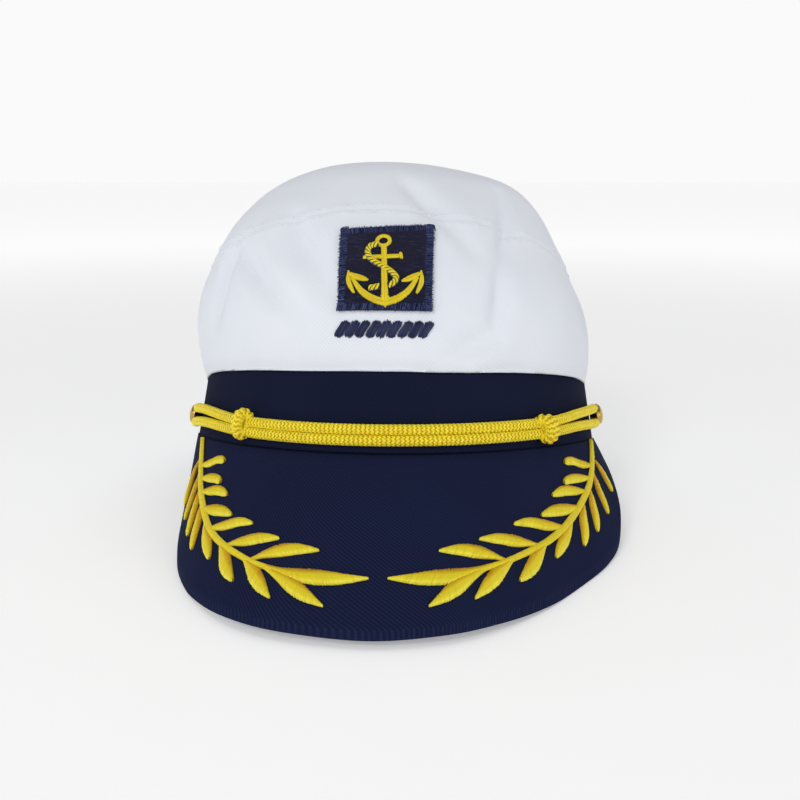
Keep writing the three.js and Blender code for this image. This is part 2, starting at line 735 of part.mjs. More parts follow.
function makeLaurel(side) {
  const place = (sweep, depth) => new THREE.Vector2(side * sweep + laurelShift * (0.2 + sweep), depth);
  const stem = new THREE.SplineCurve(laurelStem.map((row) => place(row.sweep, row.depth)));
  const stemTaper = (share) => stemWidth / 2 * (0.7 + 0.3 * Math.sin(Math.PI * share));
  const parts = [stroke(visorPoint, stem, 12, stemTaper, clearance, leafRelief * 1.15)];
  for (const leaf of laurelLeaves) {
    const root = stem.getPoint(leaf.root);
    const tip = place(leaf.sweep, leaf.depth);
    const across = tip.clone().sub(root);
    const bend = new THREE.Vector2(-across.y, across.x).multiplyScalar(side * leaf.bow);
    const middle = root.clone().add(tip).multiplyScalar(0.5).add(bend);
    const spine = new THREE.QuadraticBezierCurve(root, middle, tip);
    const girth = (share) => leaf.girth * leafWidth / 2 * leafOutline(share);
    parts.push(stroke(visorPoint, spine, 5, girth, clearance, leafRelief));
  }
  return joined(parts);
}

const cap = new THREE.Group();

function addPiece(name, geometry, finish) {
  const mesh = new THREE.Mesh(geometry, finish.clone());
  mesh.name = name;
  cap.add(mesh);
}

addPiece('band', makeBand(), navyCloth);
addPiece('crown_side', makeCrownSide(), whiteCloth);
addPiece('crown_top', makeCrownTop(), whiteCloth);
addPiece('visor', makeVisor(), navyCloth);
addPiece('cord_loop', makeCord(), goldCord);
addPiece('knot_left', makeKnot(knotAngleLeft * degree), goldCord);
addPiece('knot_right', makeKnot(knotAngleRight * degree), goldCord);
addPiece('button_left', makeButton(-buttonAngle * degree), goldMetal);
addPiece('button_right', makeButton(buttonAngle * degree), goldMetal);
addPiece('badge_patch', makePatch(), navyThread);
addPiece('badge_anchor', makeAnchor(), goldThread);
addPiece('badge_bar', makeBar(), navyThread);
addPiece('laurel_left', makeLaurel(-1), goldThread);
addPiece('laurel_right', makeLaurel(1), goldThread);

// The lean at which the visor's edge and the back of the rim both touch the table
function restingLean() {
  const back = headLength / 2;
  const corner = new THREE.Vector3();
  let lean = 0;
  for (const mesh of cap.children) {
    const places = mesh.geometry.attributes.position;
    for (let k = 0; k < places.count; k++) {
      corner.fromBufferAttribute(places, k);
      lean = Math.max(lean, Math.atan2(-corner.z, back - corner.y));
    }
  }
  return lean;
}

cap.rotation.x = -restingLean();
const box = new THREE.Box3().setFromObject(cap, true);
const centre = box.getCenter(new THREE.Vector3());
cap.position.set(-centre.x, -centre.y, -box.min.z);

const group = new THREE.Group();
group.add(cap);

export default group;
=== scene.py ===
"""The looks of a yachting cap that rests on a pale table.

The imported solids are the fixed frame. Each piece is drawn as the cap stands level, in millimetres, with
the rim of the band at z = 0 and the front towards -Y, and is then placed as the cap rests, leaning
forward onto its visor. Lengths are millimetres unless a name or a docstring says otherwise.
"""

import json
import logging
import math
from collections.abc import Callable, Sequence
from dataclasses import dataclass, field
from enum import Enum

import bmesh
import bpy
import numpy as np
from mathutils import Matrix, Vector


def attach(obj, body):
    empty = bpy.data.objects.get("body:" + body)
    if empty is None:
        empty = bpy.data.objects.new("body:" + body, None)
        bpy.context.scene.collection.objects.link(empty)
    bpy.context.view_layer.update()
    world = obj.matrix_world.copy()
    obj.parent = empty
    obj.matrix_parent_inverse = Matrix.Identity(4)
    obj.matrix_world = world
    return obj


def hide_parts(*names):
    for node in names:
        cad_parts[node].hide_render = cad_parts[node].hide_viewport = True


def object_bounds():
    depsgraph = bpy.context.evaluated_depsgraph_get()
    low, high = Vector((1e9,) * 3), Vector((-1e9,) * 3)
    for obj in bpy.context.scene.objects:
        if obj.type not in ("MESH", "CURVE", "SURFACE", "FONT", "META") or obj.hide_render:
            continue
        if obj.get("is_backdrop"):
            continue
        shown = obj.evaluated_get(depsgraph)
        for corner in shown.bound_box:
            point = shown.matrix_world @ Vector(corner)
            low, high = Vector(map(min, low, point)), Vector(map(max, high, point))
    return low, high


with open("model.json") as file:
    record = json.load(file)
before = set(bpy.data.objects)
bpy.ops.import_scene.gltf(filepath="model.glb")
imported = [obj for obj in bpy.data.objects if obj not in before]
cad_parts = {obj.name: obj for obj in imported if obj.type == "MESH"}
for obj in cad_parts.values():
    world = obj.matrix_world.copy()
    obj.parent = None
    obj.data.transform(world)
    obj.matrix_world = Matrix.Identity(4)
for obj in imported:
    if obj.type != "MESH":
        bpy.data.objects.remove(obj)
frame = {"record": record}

Array = np.ndarray
Colour = tuple[float, float, float]
Surface = Callable[[Array, Array, float], Array]
Padding = tuple[Array, list[list[int]]]
Along = Callable[[Array], Array]
AlongAcross = Callable[[Array, Array], Array]

MM = 0.001
TURN = 2 * math.pi
DEGREE = math.pi / 180
NOISE_CELLS = 64

log = logging.getLogger("cap")


class Slot(Enum):
    """The record's material slots."""

    WHITE_CLOTH = "white_cloth"
    NAVY_CLOTH = "navy_cloth"
    NAVY_THREAD = "navy_thread"
    GOLD_CORD = "gold_cord"
    GOLD_THREAD = "gold_thread"
    GOLD_METAL = "gold_metal"


class Side(Enum):
    """The two sides of the cap, as seen from the front."""

    LEFT = -1
    RIGHT = 1


def ease(share: Array) -> Array:
    """A smooth step: 0 below 0, 1 above 1, level at both ends."""
    t = np.clip(share, 0.0, 1.0)
    return t * t * t * (t * (6 * t - 15) + 10)


def soft_noise(seed: int, u: Array, v: Array, wrap: int = NOISE_CELLS) -> Array:
    """Smooth noise from -1 to 1 over a plane, from a fixed lattice of random values.

    Args:
        seed: The lattice's seed.
        u: Places along the first direction, in cells.
        v: Places along the second direction, in cells.
        wrap: After how many cells the noise repeats along u.

    Returns:
        The noise at each place.
    """
    lattice = np.random.default_rng(seed).uniform(-1, 1, (wrap, NOISE_CELLS))
    column, row = np.floor(u).astype(int), np.floor(v).astype(int)
    s, t = ease(u - column), ease(v - row)
    left, right = column % wrap, (column + 1) % wrap
    low, high = row % NOISE_CELLS, (row + 1) % NOISE_CELLS
    near = lattice[left, low] * (1 - s) + lattice[right, low] * s
    far = lattice[left, high] * (1 - s) + lattice[right, high] * s
    return near * (1 - t) + far * t


def unit(vectors: Array) -> Array:
    """The vectors at length 1."""
    return vectors / np.linalg.norm(vectors, axis=-1, keepdims=True)


def run_lengths(points: Array) -> Array:
    """How far along its line each row of points lies; over a grid, the mean of its columns."""
    steps = np.linalg.norm(np.diff(points, axis=0), axis=-1)
    return np.concatenate([[0.0], np.cumsum(steps.mean(1) if steps.ndim > 1 else steps)])


def round_angles(steps: int) -> Array:
    """Even angles all the way round the cap, from the back."""
    return np.linspace(-math.pi, math.pi, steps + 1)[:-1]


@dataclass(frozen=True)
class Ripple:
    """Soft waves round the cap: how many go round, and their length up it and height in millimetres."""

    seed: int
    count: int
    length: float
    height: float

    def at(self, angle: Array, up: Array) -> Array:
        """How high the waves stand at angles and at lengths up the cloth."""
        return self.height * soft_noise(self.seed, angle / TURN * self.count, up / self.length, self.count)


# The crown's waves: broad and fine ones on its side, and puckers along its seam and its hem
SIDE_SWELL = Ripple(3, 20, 30.0, 0.8)
SIDE_RIPPLE = Ripple(5, 58, 17.0, 0.2)
SEAM_PUCKER = Ripple(11, 110, 12.0, 0.5)
HEM_PUCKER = Ripple(13, 130, 12.0, 0.13)
BAND_SWELL = Ripple(23, 30, 16.0, 0.12)

# Swells on the crown's top: seed, length and height in millimetres
TOP_SWELLS = ((7, 27.0, 0.6), (9, 10.0, 0.15))


class Table:
    """Rows of named columns, read on a smooth curve between the rows."""

    def __init__(self, columns: str, *rows: Sequence[float]) -> None:
        """Keeps the rows; the first column says where each row lies."""
        self.names = columns.split()
        self.rows = np.array(rows, float)

    def column(self, name: str) -> Array:
        """All values of one column."""
        return self.rows[:, self.names.index(name)]

    def read(self, name: str, at: Array) -> Array:
        """The value of a column between its rows.

        Args:
            name: The column.
            at: Places on the scale of the first column.

        Returns:
            The values at those places.
        """
        places, values = self.rows[:, 0], self.column(name)
        at = np.clip(at, places[0], places[-1])
        after = np.clip(np.searchsorted(places, at), 1, len(places) - 1)
        before = after - 1
        first, last = np.maximum(before - 1, 0), np.minimum(after + 1, len(places) - 1)
        span = places[after] - places[before]
        slope_in = (values[after] - values[first]) / (places[after] - places[first]) * span
        slope_out = (values[last] - values[before]) / (places[last] - places[before]) * span
        t = (at - places[before]) / span
        t2, t3 = t * t, t * t * t
        return ((2 * t3 - 3 * t2 + 1) * values[before] + (t3 - 2 * t2 + t) * slope_in
                + (3 * t2 - 2 * t3) * values[after] + (t3 - t2) * slope_out)


# The crown's outline: rise is a share of the crown's height, spread one of the rim's half-width
CROWN_PROFILE = Table(
    "climb rise spread",
    (0.00, 0.000, 0.966),
    (0.05, 0.050, 0.985),
    (0.12, 0.150, 0.994),
    (0.20, 0.260, 0.987),
    (0.28, 0.370, 0.960),
    (0.36, 0.470, 0.917),
    (0.44, 0.565, 0.870),
    (0.53, 0.660, 0.802),
    (0.62, 0.750, 0.719),
    (0.72, 0.840, 0.622),
    (0.82, 0.915, 0.487),
    (0.91, 0.970, 0.300),
    (1.00, 0.990, 0.000),
)

# Creases in the crown's cloth, each between two places; width and depth in millimetres
CROWN_FOLDS = Table(
    "from_angle from_climb to_angle to_climb width depth",
    (-26, 0.50, -11, 0.20, 6.0, 3.5),
    (-44, 0.39, -24, 0.18, 5.0, 4.0),
    (-50, 0.42, -52, 0.16, 5.0, 4.9),
    (48, 0.62, 34, 0.30, 5.2, 3.7),
    (34, 0.30, 29, 0.12, 4.4, 4.0),
    (29, 0.12, 17, 0.06, 4.4, 2.9),
    (10, 0.68, 26, 0.37, 6.0, 3.2),
    (118, 0.45, 104, 0.10, 7.5, 3.0),
    (-128, 0.40, -146, 0.12, 7.5, 3.0),
    (158, 0.42, 171, 0.14, 7.5, 2.4),
    (-166, 0.36, -150, 0.20, 6.5, 2.0),
    (84, 0.36, 72, 0.16, 6.5, 2.0),
)

# How much of its depth a crease keeps at its ends
FOLD_ENDS = 0.35

# The visor's free edge: forward and out are shares of its reach, drop one of its whole drop
VISOR_EDGE = Table(
    "sweep forward out drop",
    (-1.00, 0.020, 0.000, 0.000),
    (-0.95, 0.235, 0.010, 0.190),
    (-0.88, 0.470, 0.030, 0.430),
    (-0.80, 0.600, 0.020, 0.615),
    (-0.70, 0.650, -0.025, 0.717),
    (-0.55, 0.690, -0.115, 0.815),
    (-0.40, 0.785, -0.190, 0.890),
    (-0.25, 0.890, -0.235, 0.941),
    (-0.12, 0.955, -0.210, 0.976),
    (0.00, 1.000, 0.000, 1.000),
    (0.12, 0.955, 0.140, 0.976),
    (0.25, 0.890, 0.135, 0.941),
    (0.40, 0.785, 0.123, 0.890),
    (0.55, 0.690, 0.110, 0.815),
    (0.70, 0.650, 0.138, 0.717),
    (0.80, 0.600, 0.156, 0.615),
    (0.88, 0.470, 0.150, 0.430),
    (0.95, 0.235, 0.090, 0.190),
    (1.00, 0.020, 0.000, 0.000),
)


@dataclass(frozen=True)
class CapForm:
    """The cap's sizes and its cloth surfaces, as functions of shares along them."""

    clearance: float = 0.3
    head_width: float = 172.0
    head_length: float = 202.0
    band_height: float = 27.3
    band_wall: float = 2.0
    band_flare: float = 4.0
    rim_dip: float = 4.9
    hem_dip: float = 2.3
    crown_height: float = 91.8
    crown_wall: float = 1.6
    crown_lean: float = 6.8
    crown_slope: float = 3.0
    swell: float = 5.2
    swell_angle: float = 1.25
    swell_climb: float = 0.66
    swell_spans: tuple[float, float] = (0.6, 0.17)
    swell_out: float = 0.8
    swell_up: float = 0.7
    hem_sag: float = 4.6
    sag_climb: float = 0.15
    sag_focus: int = 10
    side_panel_front: float = 59.0
    side_panel_side: float = 46.0
    side_panel_back: float = 38.0
    top_climb: float = 0.36
    top_blend: float = 0.3
    pucker_reach: float = 7.0
    hem_pucker_reach: float = 5.0
    seam_ridge: float = 0.2
    ridge_away: float = 1.9
    ridge_width: float = 1.5
    seam_groove: float = 0.16
    groove_width: float = 0.9
    calm: float = 0.85
    calm_angle: float = 0.27
    calm_climb: float = 0.27
    calm_span: float = 0.2
    visor_reach: float = 52.0
    visor_drop: float = 54.5
    visor_bulge: float = 1.5
    visor_wall: float = 2.2
    visor_sweep: float = 86.0
    visor_seat: float = 1.2
    visor_swell: float = 0.16

    @property
    def meridian(self) -> float:
        """About how long the crown's cloth is from the hem to the top."""
        return self.crown_height + self.head_width / 4

    @property
    def girth(self) -> float:
        """The length round the rim."""
        return TURN * (self.head_width + self.head_length) / 4

    def oval(self, angle: Array, outset: Array | float, z: Array | float) -> Array:
        """Points of the head's oval at angles from the front."""
        x = (self.head_width / 2 + outset) * np.sin(angle)
        y = -(self.head_length / 2 + outset) * np.cos(angle)
        return np.stack(np.broadcast_arrays(x, y, z), -1)

    def rim_z(self, angle: Array) -> Array:
        """Height of the band's lower edge."""
        return -self.rim_dip * np.maximum(0, np.cos(angle)) ** 2

    def hem_z(self, angle: Array) -> Array:
        """Height of the band's upper edge."""
        return self.band_height - self.hem_dip * np.maximum(0, np.cos(angle)) ** 2

    def band_outset(self, angle: Array, z: Array) -> Array:
        """How far the band's outside stands from the rim's oval."""
        low = self.rim_z(angle)
        return -self.band_flare * (z - low) / (self.hem_z(angle) - low)

    def crown_sheet(self, angle: Array, climb: Array) -> Array:
        """The crown without creases, fuller on one side and with a hem that sags at the sides.

        Args:
            angle: Angles from the front.
            climb: Shares of the way from the hem to the top.

        Returns:
            The points.
        """
        rise = CROWN_PROFILE.read("rise", climb)
        spread = CROWN_PROFILE.read("spread", climb)
        low = np.maximum(0, 1 - climb / self.sag_climb) ** 2
        sag = self.hem_sag * np.sin(angle) ** self.sag_focus * low
        round_span, climb_span = self.swell_spans
        off_angle = (angle - self.swell_angle) / round_span
        off_climb = (climb - self.swell_climb) / climb_span
        full = self.swell * np.exp(-(off_angle**2) - off_climb**2)
        slope = self.crown_slope * rise * spread * np.cos(angle)
        points = self.oval(angle, 0.0, 0.0) * spread[..., None]
        points[..., 0] += full * self.swell_out
        points[..., 0] -= self.crown_lean * rise
        points[..., 2] = self.hem_z(angle) + self.crown_height * rise + slope - sag + full * self.swell_up
        return points

    def seam_climb(self, angle: Array) -> Array:
        """The climb at which the side panel ends and the top panel begins."""
        end = np.where(np.cos(angle) > 0, self.side_panel_front, self.side_panel_back)
        height = self.side_panel_side + (end - self.side_panel_side) * np.cos(angle) ** 2
        steps = np.linspace(0, 1, 801)
        rises = CROWN_PROFILE.read("rise", steps)
        return np.interp(height / self.crown_height, rises, steps)

    def crease_depth(self, angle: Array, climb: Array) -> Array:
        """How deep the main creases press the crown's cloth.

        Args:
            angle: Angles from the front.
            climb: Shares of the way from the hem to the top.

        Returns:
            The depths.
        """
        scale = np.array([DEGREE * self.head_width / 2, self.meridian])
        here = np.stack([angle * self.head_width / 2, climb * self.meridian], -1)
        depth = np.zeros(here.shape[:-1])
        for from_angle, from_climb, to_angle, to_climb, width, deep in CROWN_FOLDS.rows:
            start = np.array([from_angle, from_climb]) * scale
            run = np.array([to_angle, to_climb]) * scale - start
            share = np.clip((here - start) @ run / (run @ run), 0, 1)
            away = np.linalg.norm(here - start - share[..., None] * run, axis=-1)
            fade = np.minimum(1, FOLD_ENDS + 4 * (1 - FOLD_ENDS) * share * (1 - share))
            depth += deep * fade * np.exp(-((away / width) ** 2))
        return depth

    def drape(self, angle: Array, climb: Array) -> Array:
        """Small swells, puckers and the sewn groove of the crown's soft cloth, calm behind the badge.

        Args:
            angle: Angles from the front.
            climb: Shares of the way from the hem to the top.

        Returns:
            How far the cloth stands out of the plain crown.
        """
        up = climb * self.meridian
        side = SIDE_SWELL.at(angle, up) + SIDE_RIPPLE.at(angle, up)
        reach = (1 - climb) * self.meridian
        x, y = reach * np.sin(angle), reach * np.cos(angle)
        top = sum(height * soft_noise(seed, x / length, y / length) for seed, length, height in TOP_SWELLS)
        on_top = ease((climb - self.top_climb) / self.top_blend)
        away = up - self.seam_climb(angle) * self.meridian
        pucker = SEAM_PUCKER.at(angle, away) * np.exp(-np.abs(away) / self.pucker_reach)
        pucker += HEM_PUCKER.at(angle, up) * np.exp(-up / self.hem_pucker_reach)
        ridge = self.seam_ridge * np.exp(-((np.abs(away) - self.ridge_away) / self.ridge_width) ** 2)
        groove = self.seam_groove * np.exp(-((away / self.groove_width) ** 2))
        off_angle, off_climb = angle / self.calm_angle, (climb - self.calm_climb) / self.calm_span
        quiet = np.exp(-(off_angle**4) - off_climb**4)
        swells = side * (1 - on_top) + top * on_top + pucker
        return swells * (1 - self.calm * quiet) + (ridge - groove)

    def crown(self, angle: Array, climb: Array, lift: Array | float = 0.0) -> Array:
        """Points of the crown's cloth, lifted off it by a length.

        Args:
            angle: Angles from the front.
            climb: Shares of the way from the hem to the top.
            lift: How far outside the cloth, or with a negative value inside it.

        Returns:
            The points.
        """
        angle, climb = np.broadcast_arrays(np.asarray(angle, float), np.asarray(climb, float))
        middle = np.array([0.0, 0.0, self.band_height + self.crown_height / 3])
        near = np.minimum(climb, 0.995)
        out = facing(lambda a, b, _: self.crown_sheet(a, b), angle, near, middle)
        press = self.drape(angle, climb) - self.crease_depth(angle, climb) + lift
        return self.crown_sheet(angle, climb) + out * press[..., None]

    def front(self, across: Array, up: Array, lift: Array | float = 0.0) -> Array:
        """Points on the crown's front.

        Args:
            across: Lengths across from the cap's middle.
            up: Lengths up the cloth from the hem.
            lift: How far outside the cloth.

        Returns:
            The points.
        """
        climb = np.asarray(up, float) / self.meridian
        leaning = self.crown_lean * CROWN_PROFILE.read("rise", climb)
        spread = CROWN_PROFILE.read("spread", climb) * self.head_width / 2
        return self.crown(np.arcsin((across + leaning) / spread), climb, lift)

    def visor_sheet(self, sweep: Array, depth: Array) -> Array:
        """The visor's plain top.

        Args:
            sweep: Shares of the way round, from -1 at its left end to 1 at its right end.
            depth: Shares of the way from the band to its free edge.

        Returns:
            The points.
        """
        angle = sweep * self.visor_sweep * DEGREE
        root = self.oval(angle, self.clearance, self.rim_z(angle) + self.visor_seat)
        edge = self.oval(angle, 0.0, 0.0)
        edge[..., 0] += self.visor_reach * VISOR_EDGE.read("out", sweep)
        edge[..., 1] -= self.visor_reach * VISOR_EDGE.read("forward", sweep)
        edge[..., 2] = -self.visor_drop * VISOR_EDGE.read("drop", sweep)
        points = root + (edge - root) * depth[..., None]
        points[..., 2] += self.visor_bulge * 4 * depth * (1 - depth) * (1 - sweep * sweep)
        return points

    def visor_facing(self, sweep: Array, depth: Array) -> Array:
        """The direction straight out of the visor's top."""
        below = np.array([0.0, 0.0, -2 * self.visor_drop])
        return facing(lambda a, b, _: self.visor_sheet(a, b), sweep, depth, below)

    def visor(self, sweep: Array, depth: Array, lift: Array | float = 0.0) -> Array:
        """Points of the visor's top, lifted off it by a length."""
        sweep, depth = np.broadcast_arrays(np.asarray(sweep, float), np.asarray(depth, float))
        wave = soft_noise(17, sweep * 6 + 20, depth * 2.2 + 3)
        swell = self.visor_swell * wave * np.sin(math.pi * np.clip(depth, 0, 1))
        out = self.visor_facing(sweep, depth)
        return self.visor_sheet(sweep, depth) + out * (swell + lift)[..., None]


def facing(surface: Surface, a: Array, b: Array, inside: Array) -> Array:
    """Unit normals of a surface by small steps, turned away from a point inside it.

    Args:
        surface: The surface, a function of two shares and a lift.
        a: Places along its first share.
        b: Places along its second share.
        inside: The point.

    Returns:
        The normals.
    """
    step = 0.002
    along_a = surface(a + step, b, 0.0) - surface(a - step, b, 0.0)
    along_b = surface(a, b + step, 0.0) - surface(a, b - step, 0.0)
    normals = unit(np.cross(along_a, along_b))
    outward = ((surface(a, b, 0.0) - inside) * normals).sum(-1, keepdims=True)
    return np.where(outward < 0, -normals, normals)


class Rest:
    """Where the level cap lies as it rests: read from the mount on the back of its rim."""

    def __init__(self, form: CapForm, record: dict) -> None:
        """Finds the lean and the place.

        Args:
            form: The cap's sizes.
            record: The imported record, whose first mount is the rim's flat face at the back.
        """
        mount = record["mounts"][0]
        _, y, z = mount["axis"]
        lean = math.atan2(-y, -z)
        self.turn = np.array(Matrix.Rotation(-lean, 3, "X"))
        on_rim = np.array([0.0, form.head_length / 2 - form.band_wall / 2, 0.0])
        self.shift = np.array(mount["pos_m"]) / MM - self.turn @ on_rim

    def metres(self, points: Array) -> Array:
        """Points of the level cap in millimetres, as they lie in the frame in metres."""
        return (points @ self.turn.T + self.shift) * MM


def build_mesh(name: str, points: Array, faces: Sequence[Sequence[int]],
               cloth: Array | None) -> bpy.types.Mesh:
    """A mesh whose faces point outwards.

    Args:
        name: The mesh's name.
        points: Vertices in metres.
        faces: Vertex indices of each face.
        cloth: Cloth coordinates of each face corner, in millimetres, or None.

    Returns:
        The mesh.
    """
    mesh = bpy.data.meshes.new(name)
    mesh.from_pydata(points.tolist(), [], [tuple(face) for face in faces])
    if cloth is not None:
        layer = mesh.uv_layers.new(name="cloth")
        layer.data.foreach_set("uv", cloth.astype(np.float32).ravel())
    shape = bmesh.new()
    shape.from_mesh(mesh)
    bmesh.ops.remove_doubles(shape, verts=shape.verts, dist=1e-7)
    if shape.calc_volume(signed=True) < 0:
        bmesh.ops.reverse_faces(shape, faces=shape.faces)
    shape.to_mesh(mesh)
    shape.free()
    mesh.polygons.foreach_set("use_smooth", np.ones(len(mesh.polygons), bool))
    return mesh


def keep_numbers(mesh: bpy.types.Mesh, numbers: dict[str, Array | float]) -> None:
    """Keeps named numbers on a mesh's points, one each or one for all."""
    for key, values in numbers.items():
        layer = mesh.attributes.new(key, "FLOAT", "POINT")
        spread = np.broadcast_to(np.asarray(values, np.float32), len(mesh.vertices))
        layer.data.foreach_set("value", np.ascontiguousarray(spread))


@dataclass(frozen=True)
class Wrap:
    """How a grid of points closes on itself."""

    rows: bool = False
    columns: bool = False


def grid_mesh(name: str, points: Array, cloth: Array, wrap: Wrap) -> bpy.types.Mesh:
    """A mesh over a grid of points, with its open ends capped where its rows wrap.

    Args:
        name: The mesh's name.
        points: Vertices in metres, rows by columns.
        cloth: Cloth coordinates, with one more row or column where the grid wraps.
        wrap: Which way the grid closes.

    Returns:
        The mesh.
    """
    rows, columns = points.shape[:2]
    row, column = np.meshgrid(
        np.arange(rows if wrap.rows else rows - 1),
        np.arange(columns if wrap.columns else columns - 1),
        indexing="ij",
    )
    corners = [(row, column), (row, column + 1), (row + 1, column + 1), (row + 1, column)]
    index = np.stack([(r % rows) * columns + c % columns for r, c in corners], -1).reshape(-1, 4)
    weave = np.stack([cloth[r, c] for r, c in corners], -2).reshape(-1, 2)
    faces = index.tolist()
    if wrap.rows and not wrap.columns:
        first = [r * columns for r in range(rows)]
        last = [r * columns + columns - 1 for r in reversed(range(rows))]
        faces += [first, last]
        weave = np.concatenate([weave, cloth[:rows, 0], cloth[:rows, -1][::-1]])
    return build_mesh(name, points.reshape(-1, 3), faces, weave)


class Value:
    """A number that varies over a surface; arithmetic on it adds Math nodes."""

    def __init__(self, tree: "ShaderTree", socket: bpy.types.NodeSocket) -> None:
        """Wraps a socket."""
        self.tree, self.socket = tree, socket

    def math(self, operation: str, *operands: "Value | float") -> "Value":
        """The result of one Math node."""
        node = self.tree.node("ShaderNodeMath", {"operation": operation}, dict(enumerate(operands)))
        return Value(self.tree, node.outputs[0])

    def __add__(self, other: "Value | float") -> "Value":
        """Sum."""
        return self.math("ADD", self, other)

    __radd__ = __add__

    def __mul__(self, other: "Value | float") -> "Value":
        """Product."""
        return self.math("MULTIPLY", self, other)

    __rmul__ = __mul__

    def __sub__(self, other: "Value | float") -> "Value":
        """Difference."""
        return self.math("SUBTRACT", self, other)

    def __rsub__(self, other: "Value | float") -> "Value":
        """Difference, with the value taken from the other."""
        return self.math("SUBTRACT", other, self)

    def __truediv__(self, other: "Value | float") -> "Value":
        """Quotient."""
        return self.math("DIVIDE", self, other)

    def __pow__(self, other: "Value | float") -> "Value":
        """Power."""
        return self.math("POWER", self, other)

    def wave(self) -> "Value":
        """A smooth wave from 0 to 1 that repeats at each whole number."""
        return 0.5 + 0.5 * self.math("SINE", self * TURN)

    def step(self, low: float, high: float) -> "Value":
        """A smooth step from 0 at low to 1 at high."""
        inputs = {"Value": self, "From Min": low, "From Max": high}
        node = self.tree.node("ShaderNodeMapRange", {"interpolation_type": "SMOOTHSTEP"}, inputs)
        return Value(self.tree, node.outputs[0])


class Tree:
    """A node tree under construction."""

    def __init__(self, tree: bpy.types.NodeTree) -> None:
        """Wraps a tree."""
        self.tree = tree

    @staticmethod
    def pick(sockets: bpy.types.bpy_prop_collection, key: int | str) -> bpy.types.NodeSocket:
        """The socket with a place, or the first one in use with an identifier or a name."""
        if isinstance(key, int):
            return sockets[key]
        return next(s for s in sockets if s.enabled and key in (s.identifier, s.name))

    def node(self, kind: str, settings: dict | None = None, inputs: dict | None = None) -> bpy.types.Node:
        """A new node.

        Args:
            kind: The node's type.
            settings: Its own settings, which are set first.
            inputs: The value or link of each socket, by place, identifier or name.

        Returns:
            The node.
        """
        node = self.tree.nodes.new(kind)
        for key, value in (settings or {}).items():
            setattr(node, key, value)
        for key, value in (inputs or {}).items():
            socket = self.pick(node.inputs, key)
            source = value.socket if isinstance(value, Value) else value
            if isinstance(source, bpy.types.NodeSocket):
                self.tree.links.new(source, socket)
            else:
                socket.default_value = source
        return node


class ShaderTree(Tree):
    """The nodes of one material."""

    def __init__(self, name: str) -> None:
        """Starts a material with a bare shader."""
        self.material = bpy.data.materials.new(name)
        self.material.use_nodes = True
        super().__init__(self.material.node_tree)
        self.tree.nodes.clear()

    def attribute(self, name: str) -> Value:
        """A number kept on the mesh."""
        node = self.node("ShaderNodeAttribute", {"attribute_name": name})
        return Value(self, node.outputs["Fac"])

    def cloth(self) -> tuple[Value, Value]:
        """The cloth coordinates, in millimetres."""
        place = self.node("ShaderNodeUVMap", {"uv_map": "cloth"})
        parts = self.node("ShaderNodeSeparateXYZ", None, {0: place.outputs[0]})
        return Value(self, parts.outputs[0]), Value(self, parts.outputs[1])

    def noise(self, size: float, detail: float = 2.0) -> Value:
        """Noise from 0 to 1 in space, with swells about as long as size in millimetres."""
        place = self.node("ShaderNodeTexCoord")
        inputs = {"Vector": place.outputs["Object"], "Scale": 1 / (size * MM), "Detail": detail}
        return Value(self, self.node("ShaderNodeTexNoise", None, inputs).outputs[0])

    def blend(self, share: Value, low: object, high: object) -> bpy.types.NodeSocket:
        """A colour between two others."""
        inputs = {"Factor_Float": share, "A_Color": colour_of(low), "B_Color": colour_of(high)}
        node = self.node("ShaderNodeMix", {"data_type": "RGBA"}, inputs)
        return self.pick(node.outputs, "Result_Color")

    def surface(self, height: Value, relief: float, inputs: dict) -> bpy.types.Material:
        """Ends the tree in a shader.

        Args:
            height: The fine relief, from 0 to 1.
            relief: How many millimetres it stands for.
            inputs: The shader's other values and links.

        Returns:
            The material.
        """
        bump = self.node("ShaderNodeBump", None,
                         {"Height": height, "Distance": relief * MM, "Strength": 1.0})
        shader = self.node("ShaderNodeBsdfPrincipled", None, {**inputs, "Normal": bump.outputs[0]})
        self.node("ShaderNodeOutputMaterial", None, {"Surface": shader.outputs[0]})
        return self.material


def colour_of(colour: object) -> object:
    """A colour as a socket takes it, or a link as it is."""
    return (*colour, 1.0) if isinstance(colour, tuple) else colour


@dataclass(frozen=True)
class Twill:
    """Twill cloth: diagonal ribs of short floats, with a painted highlight on the ribs."""

    name: str
    colour: Colour
    rib_highlight: Colour
    shade: Colour
    rib_pitch: float
    rib_turn: float
    float_length: float
    relief: float
    roughness: float
    sheen: float

    def build(self) -> bpy.types.Material:
        """The material."""
        tree = ShaderTree(self.name)
        u, v = tree.cloth()
        turn = self.rib_turn * DEGREE
        across = (u * math.cos(turn) + v * math.sin(turn)) / self.rib_pitch
        along = (v * math.cos(turn) - u * math.sin(turn)) / self.float_length
        uneven = tree.noise(9.0) * 0.5
        rib = (across + uneven).wave()
        floats = (along + across * 0.5).wave()
        weave = rib * (0.6 + 0.4 * floats)
        fuzz = tree.noise(0.35, 3.0)
        cloud = tree.noise(26.0, 3.0).step(0.35, 0.7)
        base = tree.blend(cloud, self.shade, self.colour)
        # Painted highlight: the raised ribs are coloured lighter, by the same weave that raises them in the
        # bump.
        base = tree.blend(weave ** 1.5, base, self.rib_highlight)
        inputs = {
            "Base Color": base,
            "Roughness": self.roughness + 0.08 * fuzz,
            "Sheen Weight": self.sheen,
            "Sheen Roughness": 0.5,
            "Specular IOR Level": 0.05,
        }
        return tree.surface(0.75 * weave + 0.25 * fuzz, self.relief, inputs)


